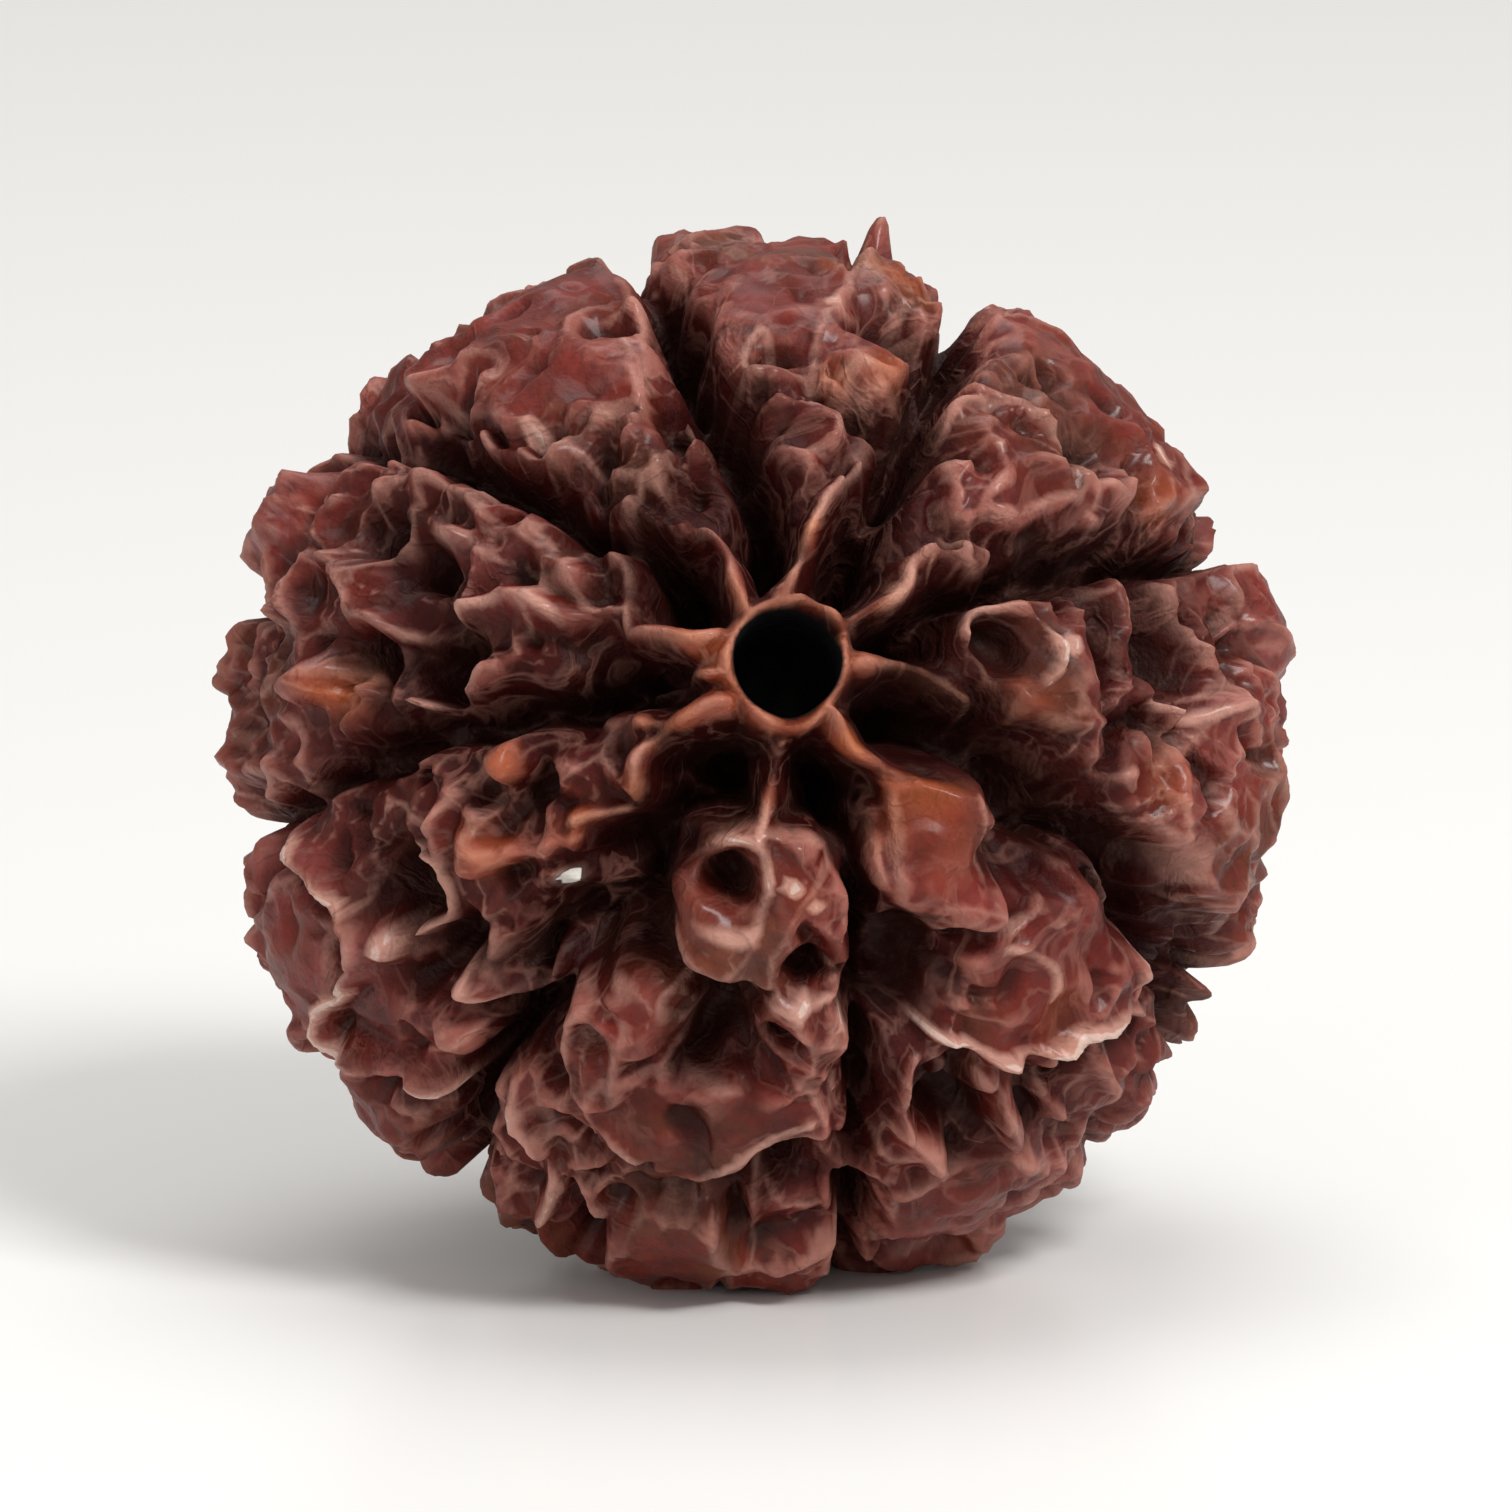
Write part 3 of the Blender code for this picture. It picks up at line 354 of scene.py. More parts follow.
ridge(-0.20, 0.26, [(12, 60), (13, 68), (13, 76)])
swelling(12.3, 76.5, 0.20, 0.22, 0.34)
pit(18, 50.5, 0.95, 0.8, 2.1)
pit(346, 57, 0.55, 1.5, 0.9)
pit(22.5, 35.5, 1.2, 0.62, 1.7)
pit(15, 36.5, 0.8, 0.4, 1.1)

# The second face, at the upper right: a broad star of ridges over a patch of small pits.
plate(-0.34, [
    (30, 45), (39, 48), (51, 50), (59, 53), (61, 62),
    (60, 72), (45, 72), (30, 70), (28, 60),
])
plate(-0.52, [(32, 35), (40, 31), (50, 30), (54, 34), (56, 47), (50, 50), (38, 47), (31, 42)])
swelling(36, 33, 0.4, 0.4, -0.50)
swelling(42, 33, 0.4, 0.4, -0.50)
ridge(-0.40, 0.24, [(35, 45), (33, 42), (31, 36)])
ridge(-0.30, 0.24, [(40, 28), (45, 28), (48, 27), (52, 26), (55, 27), (60, 24)])
ridge(-0.20, 0.42, [(50, 30), (47, 38), (50, 42), (53, 47), (57, 52), (57, 60)])
ridge(-0.35, 0.28, [(47, 38), (43, 40), (40, 42), (35, 45)])
pit(38, 55, 0.34, 0.34, 0.69)
pit(42, 57, 0.34, 0.34, 0.69)
pit(39, 60, 0.34, 0.34, 0.69)
pit(51, 52, 0.57, 0.57, 0.8)

# The third face, at the right: a hooked ridge round a pit by the spoke, a long row of crests
# between two deep pits, and a square knob on the girth.
plate(-0.02, [(71, 71), (78, 70), (79, 88), (71, 88)])
plate(-0.36, [
    (90, 60), (99, 54), (108, 52), (110, 60), (112, 72),
    (104, 76), (94, 76), (84, 74), (82, 72),
])
plate(-0.55, [(76, 22), (92, 24), (98, 30), (100, 42), (92, 45), (82, 44), (75, 42), (73, 30)])
swelling(84, 40.5, 0.45, 0.4, -0.45)
swelling(100, 40.5, 0.4, 0.4, -0.45)
ridge(-0.04, 0.20, [(80, 22), (75, 25), (75, 30), (80, 33), (87, 33.5), (92, 31)], 3.0, 1.3)
ridge(-0.28, 0.22, [(70, 47), (75, 47.5), (81, 47), (87, 48.5), (91, 51), (92, 56)], 2.6, 0.85)
ridge(-0.30, 0.26, [(94, 50), (98, 48), (103, 45), (106, 43)])
ridge(-0.28, 0.24, [(92, 56), (90, 60), (85, 66), (82, 70)], 2.6, 0.85)
ridge(-0.35, 0.24, [(72, 57), (78, 60), (83, 62)])
ridge(-0.30, 0.22, [(101, 68), (104, 72)])
ridge(-0.30, 0.22, [(106, 60), (103, 64)])
ridge(-0.30, 0.22, [(109, 65), (111, 70)])
pit(83.5, 27, 0.75, 0.7, 1.4)
pit(82, 41, 1.3, 0.45, 1.5)
pit(80.5, 53.5, 1.5, 0.9, 2.1)

# The fourth face, at the lower right: an orange lobe by the mouth, then a hollow plate with a
# thin pale rim that stands out over the foot of the face.
plate(-0.30, [
    (139, 18), (146, 23), (152, 31), (149, 38),
    (139, 39), (131, 35), (124, 30), (130, 20),
], 0.25)
plate(-0.62, [
    (118, 50), (121, 61), (129, 68), (136, 63), (149, 56),
    (157, 47), (150, 43), (127, 42), (120, 44),
])
plate(-0.55, [(151, 74), (165, 73), (166, 90), (150, 92), (145, 85)], 0.25)
swelling(123, 44, 0.5, 0.5, -0.40)
swelling(150, 45, 0.45, 0.45, -0.45)
swelling(156, 57, 0.4, 0.4, -0.50)
ridge(-0.25, 0.22, [(125, 27), (129, 30), (133, 33), (137, 36)])
ridge(-0.30, 0.22, [(150, 20), (152, 25), (155, 28)])
ridge(-0.10, 0.14, [(117, 46), (118, 54), (121, 61), (125, 65), (128, 68)], 3.0, 1.3)
ridge(-0.10, 0.14, [(128, 68), (136, 63), (144, 58), (149, 56), (153, 51), (158, 47)], 3.0, 1.3)
ridge(-0.30, 0.22, [(140, 44), (137, 48), (136, 52), (137.5, 54)], 2.6, 0.85)
ridge(-0.40, 0.22, [(131, 45), (127, 47)])
ridge(-0.40, 0.26, [(134, 66), (136, 72), (136, 78)])
ridge(-0.35, 0.26, [(128, 72), (126, 76)])
ridge(-0.50, 0.22, [(141, 62), (143, 68), (142, 75)])
ridge(-0.30, 0.22, [(160, 52), (162, 58), (161, 66), (158, 73)])
ridge(-0.35, 0.22, [(152, 57), (149, 65), (150, 72)])
pit(127, 34.5, 0.8, 0.69, 1.03)
pit(156, 40, 0.9, 1.1, 1.6)
pit(122, 38, 0.9, 1.2, 1.3)
pit(155, 63, 0.75, 1.2, 1.2)
pit(128, 74, 1.2, 0.7, 0.8)
pit(142, 67, 1.2, 0.5, 0.7)

# The fifth face, at the bottom: a block with a ringed black eye in it, and below the block broad
# plates that end in the knobs it rests on.
plate(-0.20, [
    (213, 24), (203, 19.5), (175, 20), (160, 23), (165, 30),
    (167, 36), (180, 37), (199, 36.5), (206, 31),
], 0.02, 5.0)
plate(-0.42, [(181, 36), (170, 36), (168, 47), (176, 53), (184, 45)])
plate(-0.36, [(209, 45), (199, 41), (195, 44), (195, 52), (200, 58), (207, 60), (211, 52)])
plate(-0.52, [
    (176, 53), (173, 60), (180, 60), (188, 67),
    (195, 68), (203, 62), (204, 57), (195, 53),
])
plate(-0.02, [(186, 74), (193, 74), (196, 84), (193, 94), (186, 94), (183, 82)])
plate(-0.15, [(172, 80), (183, 83), (183, 94), (174, 94)])
swelling(168, 46, 0.45, 0.45, -0.45)
ridge(0.02, 0.20, [(206, 25), (202, 21.5), (193, 20.5), (186, 22), (184, 26)], 2.6, 1.1)
ridge(0.00, 0.18, [(206, 25), (203, 30), (195, 32), (187, 31), (184, 26)], 2.6, 0.9)
ridge(-0.22, 0.20, [(182, 39.5), (177, 40), (171, 40)], 2.6, 0.85)
ridge(-0.30, 0.26, [(207, 43), (202, 42), (197, 43)])
ridge(-0.35, 0.22, [(203, 51), (201, 55), (201, 60)])
ridge(-0.30, 0.22, [
    (176, 58), (182, 59.5), (187, 65),
    (192, 66.5), (198, 65), (201, 62),
], 2.6, 0.85)
ridge(-0.40, 0.22, [(172, 53), (172, 58), (170, 62)])
ridge(-0.35, 0.24, [(181, 67), (181, 75)])
ridge(-0.40, 0.24, [(172, 70), (172, 78)])
ridge(-0.40, 0.22, [(200, 66), (203, 74), (198, 79)])
ridge(-0.25, 0.20, [(213, 66), (210, 70), (207, 74), (204, 80), (204, 88)], 2.8, 1.0)
pit(194, 26, 0.60, 0.68, 1.5)
pit(212, 34, 0.9, 1.8, 1.4)
pit(192, 45, 0.75, 1.4, 1.3)
pit(180, 68, 0.9, 0.6, 1.6)
pit(176, 36, 0.55, 0.42, 1.5)
pit(206, 52, 0.46, 0.46, 0.8)

# The sixth face, at the lower left: a hollow field behind a thin pale seam, and beyond the seam
# the bulging shoulders of the girth.
swelling(257, 83, 1.0, 1.0, -0.15)
plate(-0.28, [(251, 73), (243, 70), (238, 76), (236, 86), (240, 94), (250, 92)], 0.3)
plate(-0.30, [(231, 86), (221, 86), (221, 98), (229, 99)], 0.3)
swelling(252, 35, 0.55, 0.5, -0.35)
swelling(238, 43, 0.5, 0.5, -0.35)
swelling(238, 63, 0.45, 0.45, -0.28)
swelling(224, 37, 0.8, 0.45, -0.50)
swelling(223, 64, 0.55, 0.55, -0.40)
ridge(-0.02, 0.16, [
    (261, 72), (256, 71), (250, 68), (244, 65),
    (239, 66), (237, 70), (237, 80),
], 3.0, 1.4)
ridge(-0.02, 0.16, [(237, 80), (236, 86), (232, 83), (227, 77), (223, 75), (219, 76)], 3.0, 1.4)
ridge(-0.30, 0.22, [(258, 48), (254, 46), (250, 46), (247, 47), (244, 47), (241, 48)])
ridge(-0.35, 0.22, [(228, 26), (231, 29), (234, 33)], 2.6, 0.85)
ridge(-0.30, 0.38, [(230, 33), (236, 40), (240, 43), (245, 42)])
ridge(-0.25, 0.16, [(247, 52), (243, 49), (239, 50), (236, 54), (236, 59)], 2.8, 0.9)
ridge(-0.25, 0.18, [(229, 57), (225, 58.5), (221, 56), (218, 52), (219, 48)], 2.8, 1.0)
pit(243, 56, 0.9, 0.8, 1.4)
pit(232, 58, 0.5, 1.2, 1.8)
pit(227, 86, 0.35, 0.6, 0.9)
pit(222, 53, 0.55, 0.5, 0.8)
pit(244.5, 35, 0.57, 0.69, 0.92)
pit(225, 44.5, 0.69, 0.57, 0.92)

# The seventh face, at the left: a band of pink crest down its middle with pits on both sides.
plate(0.18, [(292, 80), (299, 80), (300, 96), (292, 96)], 0.2)
swelling(273, 64, 0.75, 0.8, -0.22)
ridge(-0.38, 0.60, [(298, 62), (303, 59), (305, 52), (304, 43), (300, 34), (295, 28)], 1.6)
ridge(-0.30, 0.28, [(287, 22), (283, 26), (284, 30), (284, 38), (280, 42), (280, 50)], 2.6, 0.85)
ridge(-0.30, 0.28, [(280, 50), (281, 58), (284, 59), (287, 61), (290, 66)])
ridge(-0.30, 0.22, [(296, 53), (296, 48), (294, 43), (292, 40), (289, 39.5), (286, 40)], 2.6, 0.85)
ridge(-0.35, 0.22, [(303, 57), (302, 50), (302, 46), (300, 41), (299, 37), (297, 33)])
ridge(-0.30, 0.22, [(268, 48), (267, 45), (268, 40), (270, 36), (273, 33)], 2.6, 0.85)
ridge(-0.30, 0.18, [(275, 63), (275, 59), (270, 56), (266, 60)])
ridge(-0.35, 0.22, [(297, 70), (290, 72), (285, 72), (281, 70)])
ridge(-0.30, 0.22, [(292, 82), (287, 80), (282, 74)])
ridge(-0.40, 0.20, [(266, 72), (263, 76), (262, 80)])
pit(291, 50, 0.8, 0.85, 1.8)
pit(294.5, 59.5, 0.57, 0.63, 1.03)
pit(275, 44, 0.95, 0.95, 1.9)
pit(275, 56, 0.5, 0.8, 1.5)

# The eighth face, at the upper left: broad smooth plates that end in a scalloped edge.
plate(-0.38, [
    (313, 57), (317, 44), (325, 40), (334, 38), (340, 50),
    (342, 60), (340, 75), (328, 77), (315, 72),
])
plate(-0.55, [(316, 40), (319, 32), (326, 26), (333, 30), (336, 36), (326, 39)])
swelling(340, 29, 0.35, 0.35, -0.45)
swelling(312, 29, 0.4, 0.4, -0.40)
ridge(-0.30, 0.26, [(336, 48), (335, 42), (333, 37), (331, 32), (327, 27)])
ridge(-0.40, 0.18, [(339, 37), (341, 34)])
ridge(-0.30, 0.24, [(312, 34), (313, 38), (314, 42), (311, 47), (312, 52), (316, 55)])
ridge(-0.40, 0.22, [(322, 39), (327, 39)])
pit(321, 34.5, 0.57, 0.46, 0.8)
pit(313.5, 60, 0.4, 0.63, 0.8)
pit(336.5, 54, 0.46, 0.57, 0.8)

# The girth: a row of knobs all round the outer edge of the faces, where the fruit's flesh held on
# longest, with notches between some of them. They stand on the outline that the camera sees, and
# each has an azimuth and the level of its top.
SEEN_FROM_ABOVE = 12.6
SEEN_FROM_LEFT = 4.5
KNOB_SINKS = 0.30
GIRTH_KNOBS = [
    (356, -0.25), (4, -0.28), (18, -0.40), (31, -0.30), (38, -0.65), (46, -0.90), (57, -0.25),
    (72, 0.20), (80, -0.10), (90, 0.10), (99, -0.20), (107, -0.40), (120.5, 0.05), (131, -0.25),
    (141, -0.75), (154, -0.25), (162, -0.60), (174, -0.50), (186, -0.40), (204, -0.40),
    (213, -0.50), (225, 0.10), (234, -0.80), (246, 0.0), (257, -0.12), (269, 0.0), (281, -0.45),
    (296, 0.40), (303, 0.0), (314, -0.15), (323, -0.30), (331, -0.40), (339, -0.50), (349, 0.05),
]
for azimuth, top in GIRTH_KNOBS:
    a = math.radians(azimuth)
    edge = 90 - SEEN_FROM_ABOVE * math.cos(a) - SEEN_FROM_LEFT * math.sin(a)
    swelling(azimuth, edge, 1.0, 1.4, top - KNOB_SINKS)
NOTCHES = [(90, 85), (103, 88), (193, 101), (264, 94), (287, 90), (345, 78)]
for azimuth, edge in NOTCHES:
    pit(azimuth, edge, 0.40, 1.6, 0.9)
pit(115, 91, 0.5, 3.4, 1.2)

# The whole surface: bed and ridges grew together, and the pits and grooves are cut through both.
# It lies on its side with its front mouth tipped up, on a few worn knobs of the underside. Each of
# these feet has its place under the bead, x and y, then a half width and the level of its top.
TIP_UP = math.radians(25.0)
TURN = math.radians(1.9)
CENTRE_HEIGHT = 11.25
FULLNESS_AT_GIRTH = 0.40
VALLEY_DEPTH = 0.40
CHANNEL_DEPTH = 1.10
SPECK_DEPTH = 0.6
MOST_CALM = 0.72
FOOT_DOME = 0.45
FOOT_SIDE_SLOPE = 1.4
LONG_FOLDS = (3.0, SEED + 10)
SHORT_FOLDS = (1.5, SEED + 11)
FINE_FOLDS = (0.9, SEED + 13)
FEET = [
    (0.0, -0.2, 1.3, 0.05),
    (-2.9, -2.3, 1.2, 0.30),
    (2.7, -2.6, 1.1, 0.28),
    (2.4, 1.6, 1.2, 0.46),
    (-2.3, 1.8, 1.1, 0.50),
]
from_mouth = np.clip((colatitude - 9) / 8, 0, 1)
fullness = FULLNESS_AT_GIRTH * np.exp(-(((colatitude - 86) / 24) ** 4))
CALM = [
    (193, 25.5, 1.7), (137, 53, 2.8), (136, 26, 2.0), (0, 53, 2.3), (328, 50, 2.1), (187, 60, 2.4),
    (160, 80, 1.6), (234, 72, 2.0), (247, 72, 1.6), (51, 40, 1.4), (12, 47, 1.2), (82, 50, 1.4),
    (257, 83, 1.4), (244, 82, 2.1), (227, 92, 1.8), (40, 62, 2.2), (85, 30, 1.5), (2, 68, 1.8),
    (330, 66, 1.8), (50, 74, 1.5), (190, 84, 1.6), (74, 82, 1.4), (296, 88, 1.2),
]


def crinkle(at, length, seed):
    """Seeded sharp little crests with round hollows between them, from about -1 up to 0.5."""
    return 0.5 - 1.5 * np.abs(waves(at, length, seed))


def roughness_here():
    """How crumpled the surface is at each place, from 0 to 1: less so on the calm plates."""
    smooth = np.zeros(len(ground))
    for azimuth, colat, radius in CALM:
        q, here = oval(azimuth, colat, radius, radius)
        smooth[here] = np.maximum(smooth[here], np.exp(-(q**4)))
    return 1 - MOST_CALM * smooth


rough = roughness_here() * np.clip((colatitude - 14) / 10, 0, 1)
specks = np.maximum(waves(ground, 1.8, SEED + 16, 20) - 0.80, 0) * rough
hollow = np.maximum(hollow, SPECK_DEPTH * (1 - np.exp(-3.5 * specks)))
cut = (VALLEY_DEPTH * valley + CHANNEL_DEPTH * channel) * from_mouth
level = melt(bed, raised) + fullness - hollow - cut
folds = 0.20 * crinkle(ground, *LONG_FOLDS) + 0.11 * crinkle(ground, *SHORT_FOLDS) + 0.08
level += folds * rough
level += 0.07 * crinkle(ground, *FINE_FOLDS) * rough

right = np.array([1.0, 0.0, 0.0])
up = np.array([0.0, math.sin(TIP_UP), math.cos(TIP_UP)])
axis = np.array([0.0, -math.cos(TIP_UP), math.sin(TIP_UP)])
turned = np.array([
    right * math.cos(TURN) - up * math.sin(TURN),
    up * math.cos(TURN) + right * math.sin(TURN),
    axis,
])
centre = np.array([0.0, 0.0, CENTRE_HEIGHT])
envelope = unit * np.array([GIRTH_RADIUS, GIRTH_RADIUS, GIRTH_RADIUS * POLE_RATIO])
outward = envelope / np.linalg.norm(envelope, axis=1, keepdims=True)
resting = envelope @ turned + centre
low = np.flatnonzero(resting[:, 2] < 3.0)
for x, y, half_width, top in FEET:
    q = np.hypot(resting[low, 0] - x, resting[low, 1] - y) / half_width
    q = q * (1 + 0.15 * waves(unit[low] * GIRTH_RADIUS, 2.4, SEED + 9))
    foot = top - FOOT_DOME * q**2 - FOOT_SIDE_SLOPE * half_width * np.maximum(q - 0.8, 0)
    level[low] = melt(level[low], foot)
local = envelope + outward * level[:, None]

# Small crumples, on all of it: the surface is pushed sideways and in and out by less than a fifth
# of a millimetre, as the flesh left it when it dried off the stone.
CRUMPLE = 0.05
crumple = np.stack([waves(local, 1.5, SEED + 20 + k, 24) for k in range(3)], axis=1)
wrinkle = 0.022 * crinkle(local, 0.9, SEED + 30) + 0.012 * waves(local, 0.45, SEED + 31, 40)
local = local + CRUMPLE * crumple + outward * wrinkle[:, None]
world = (local @ turned + centre) / 1000
stone.data.vertices.foreach_set("co", world.astype(np.float32).ravel())
stone.data.update()


def apply(piece, kind, **settings):
    modifier = piece.modifiers.new(kind.title(), kind)
    for name, value in settings.items():
        setattr(modifier, name, value)
    bpy.context.view_layer.objects.active = piece
    bpy.ops.object.modifier_apply(modifier=modifier.name)


apply(stone, "SMOOTH", factor=0.5, iterations=2)

# The bore and the underside: the bore is drilled through from mouth to mouth for a thread, and
# the tips of the low knobs are worn level where the bead lies on the table.
BORE_RADIUS = 0.0012
DRILL_LENGTH = 0.034
TABLE_BLOCK = 0.04
TRIANGLES = 194000
bpy.ops.mesh.primitive_cylinder_add(
    vertices=96,
    radius=BORE_RADIUS,
    depth=DRILL_LENGTH,
    location=(0, 0, CENTRE_HEIGHT / 1000),
    rotation=(math.pi / 2 - TIP_UP, 0, 0),
)
drill = bpy.context.object
apply(stone, "BOOLEAN", operation="DIFFERENCE", solver="EXACT", object=drill)
bpy.data.objects.remove(drill, do_unlink=True)
bpy.ops.mesh.primitive_cube_add(size=TABLE_BLOCK, location=(0, 0, -TABLE_BLOCK / 2))
table = bpy.context.object
apply(stone, "BOOLEAN", operation="DIFFERENCE", solver="EXACT", object=table)
bpy.data.objects.remove(table, do_unlink=True)
apply(stone, "DECIMATE", ratio=TRIANGLES / len(stone.data.polygons))
bpy.ops.object.select_all(action="DESELECT")
stone.select_set(True)
bpy.context.view_layer.objects.active = stone
bpy.ops.object.shade_smooth()

# The wood's colouring: the hollows are painted with shade, darker the deeper they lie, the crests
# are handled to a dusty pink, orange wood shows by the mouth and where a face is worn, and a few
# smooth plates and knobs are a stronger red. All of it is read from the finished surface.
co = np.empty(len(stone.data.vertices) * 3, np.float32)
stone.data.vertices.foreach_get("co", co)
local = (co.reshape(-1, 3) * 1000.0 - centre) @ turned.T
stretched = local / np.array([1.0, 1.0, POLE_RATIO])
size = np.linalg.norm(stretched, axis=1)
ground = wandering(stretched / size[:, None] * GIRTH_RADIUS)
depth = (size - GIRTH_RADIUS) * POLE_RATIO ** 0.5
edges = np.empty(len(stone.data.edges) * 2, np.int32)
stone.data.edges.foreach_get("vertices", edges)
edges = edges.reshape(-1, 2)
both = np.concatenate([edges, edges[:, ::-1]])
count = np.bincount(both[:, 0], minlength=len(size))


def spread(values, times):
    for _ in range(times):
        total = np.bincount(both[:, 0], weights=values[both[:, 1]], minlength=len(size))
        values = 0.5 * values + 0.5 * total / np.maximum(count, 1)
    return values


fine_crest = depth - spread(depth, 10)
broad_crest = depth - spread(depth, 70)


def spots(places):
    """A mask of soft spots, each an azimuth, a colatitude, a half width in mm and a strength."""
    mask = np.zeros(len(ground))
    for azimuth, colat, half_width, strength in places:
        middle = place(azimuth, colat) * GIRTH_RADIUS
        away = np.linalg.norm(ground - middle, axis=1) / half_width
        mask = np.maximum(mask, strength * np.exp(-(away**2)))
    return mask


ORANGE_SPOTS = [
    (0, 0, 2.9, 0.70), (140, 13, 1.0, 0.9), (133, 20, 1.2, 0.8), (136, 28, 1.1, 0.4),
    (146, 22, 1.0, 0.45), (19, 72, 0.7, 0.8), (8, 62, 0.5, 0.5), (200, 30, 0.6, 0.25),
    (94, 16, 0.9, 0.7), (97, 23, 0.9, 0.6), (242, 15, 0.9, 0.7), (248, 19, 0.8, 0.6),
    (57, 12, 0.6, 0.6), (10, 17, 0.8, 0.6), (20, 42.5, 0.7, 0.6), (11, 39.5, 0.5, 0.6),
    (18.5, 63, 0.9, 0.9), (252, 35, 0.7, 0.8), (271, 60, 0.8, 0.9), (60, 62, 0.9, 0.5),
    (173, 27, 0.7, 0.25),
    (232, 32, 1.0, 0.6), (238, 42, 0.9, 0.6), (187, 14, 0.6, 0.6), (137, 57, 1.0, 0.4),
    (228, 24, 0.9, 0.5), (100, 30, 1.0, 0.4), (90, 27, 0.8, 0.5), (325, 10, 0.7, 0.6),
    (285, 11, 0.7, 0.6), (206, 26, 0.5, 0.2), (266, 24, 0.9, 0.4), (101, 52, 0.9, 0.4),
]
orange = spots(ORANGE_SPOTS)
RED_SPOTS = [
    (130, 55, 1.6, 0.9), (141, 53, 1.3, 0.8), (204, 45, 0.8, 0.9), (223, 69, 0.7, 0.9),
    (163, 66, 0.7, 0.8), (181, 88, 0.8, 0.5), (137, 34, 0.9, 0.6), (276, 66, 0.7, 0.5),
    (245, 79, 0.9, 0.4), (98, 64, 1.2, 0.5), (330, 52, 2.0, 0.35), (2, 55, 1.6, 0.3),
    (200, 29, 0.9, 0.7), (170, 29, 0.9, 0.6),
]
red = spots(RED_SPOTS)

# The crests are worn pale in thin broken lines: those of the ridges and the rims of the plates,
# and less so those of the little crumples between them. Most flecks are chips and dried flesh; the
# two strongest, at azimuth 225 and 226, are a painted glint in near white.
LINE_HALF_WIDTH = 0.15
FOLDS_WORN = 0.45
FLECKS = [
    (225, 38, 0.34, 2.0), (226, 39.5, 0.26, 2.0), (177, 25, 0.26, 1.2), (172, 28, 0.22, 1.0),
    (317, 45, 0.30, 1.0), (56, 66, 0.32, 1.1), (238, 63, 0.35, 1.0), (8, 53, 0.24, 1.0),
    (176, 40, 0.26, 1.1), (168, 44, 0.24, 1.1), (84, 36, 0.26, 1.2), (223, 69, 0.3, 0.7),
]
pale = np.zeros(len(ground))
for route, worn in crests:
    here = near_to(route, 0.6)
    distance, _ = route_distance(ground[here], route)
    pale[here] = np.maximum(pale[here], worn * np.exp(-((distance / LINE_HALF_WIDTH) ** 2)))
for azimuth, colat, half_width, strength in FLECKS:
    away = np.linalg.norm(ground - place(azimuth, colat) * GIRTH_RADIUS, axis=1) / half_width
    pale = np.maximum(pale, strength * np.exp(-(away**4)))
little = np.exp(-((waves(ground, *LONG_FOLDS) / 0.11) ** 2))
little = np.maximum(little, 0.8 * np.exp(-((waves(ground, *SHORT_FOLDS) / 0.15) ** 2)))
pale = np.maximum(pale, FOLDS_WORN * little * roughness_here())


def paint(name, values):
    layer = stone.data.attributes.new(name, "FLOAT", "POINT")
    layer.data.foreach_set("value", values.astype(np.float32))


paint("height", np.clip((depth + 2.4) / 2.6, 0, 1))
paint("fine_crest", np.clip(0.5 + fine_crest * 3.0, 0, 1))
paint("broad_crest", np.clip(0.5 + broad_crest * 0.9, 0, 1))
paint("orange", orange)
paint("red", red)
paint("pale", np.minimum(pale, 2.0))
# The inside of the bore is painted black as shade, and made fully rough.
BLACK_WITHIN = 1.27
BLACK_EDGE = 0.05
from_axis = np.hypot(local[:, 0], local[:, 1])
paint("bore", np.clip((BLACK_WITHIN - from_axis) / BLACK_EDGE, 0, 1))

DUSTY_PINK = (0.37, 0.130, 0.098)
CURL_PINK = (0.38, 0.165, 0.125)
STRONG_RED = (0.205, 0.020, 0.013)
ORANGE_WOOD = (0.32, 0.066, 0.018)
FADED_PINK = (0.49, 0.25, 0.195)
FADED_ORANGE = (0.54, 0.20, 0.09)
BONE = (0.75, 0.60, 0.52)
GLINT_WHITE = (0.80, 0.76, 0.70)
PAINTED_SHADE_BROWN = (0.020, 0.004, 0.002)
BORE_SHADE_BLACK = (0.001, 0.001, 0.001)
FULLY_ROUGH = (1.0, 1.0, 1.0)
MOTTLE_SCALE = 420.0
SPECKLE_SCALE = 1300.0
CURL_SCALE = 520.0
HUE_SCALE = 230.0
PATCH_SCALE = 260.0
GRAIN_SCALE = 5200.0
OIL_SHINE = 0.14
POLISH_ROUGHNESS = 0.22
GRAIN_STRENGTH = 0.5
GRAIN_DEPTH = 0.00014
wood = bpy.data.materials.new("oiled_seed_wood")
wood.use_nodes = True
nodes = wood.node_tree.nodes
links = wood.node_tree.links
shader = nodes["Principled BSDF"]
where = nodes.new("ShaderNodeTexCoord")


def read(name):
    node = nodes.new("ShaderNodeAttribute")
    node.attribute_name = name
    return node.outputs["Fac"]


def noise(scale, detail, roughness=0.55, curl=0.0):
    node = nodes.new("ShaderNodeTexNoise")
    node.inputs["Scale"].default_value = scale
    node.inputs["Detail"].default_value = detail
    node.inputs["Roughness"].default_value = roughness
    node.inputs["Distortion"].default_value = curl
    links.new(where.outputs["Object"], node.inputs["Vector"])
    return node.outputs["Fac"]


def ramp(source, stops):
    node = nodes.new("ShaderNodeValToRGB")
    while len(node.color_ramp.elements) < len(stops):
        node.color_ramp.elements.new(0.5)
    for element, (position, colour) in zip(node.color_ramp.elements, stops):
        element.position = position
        element.color = (*colour, 1.0) if isinstance(colour, tuple) else (colour,) * 3 + (1.0,)
    links.new(source, node.inputs["Fac"])
    return node.outputs["Color"]


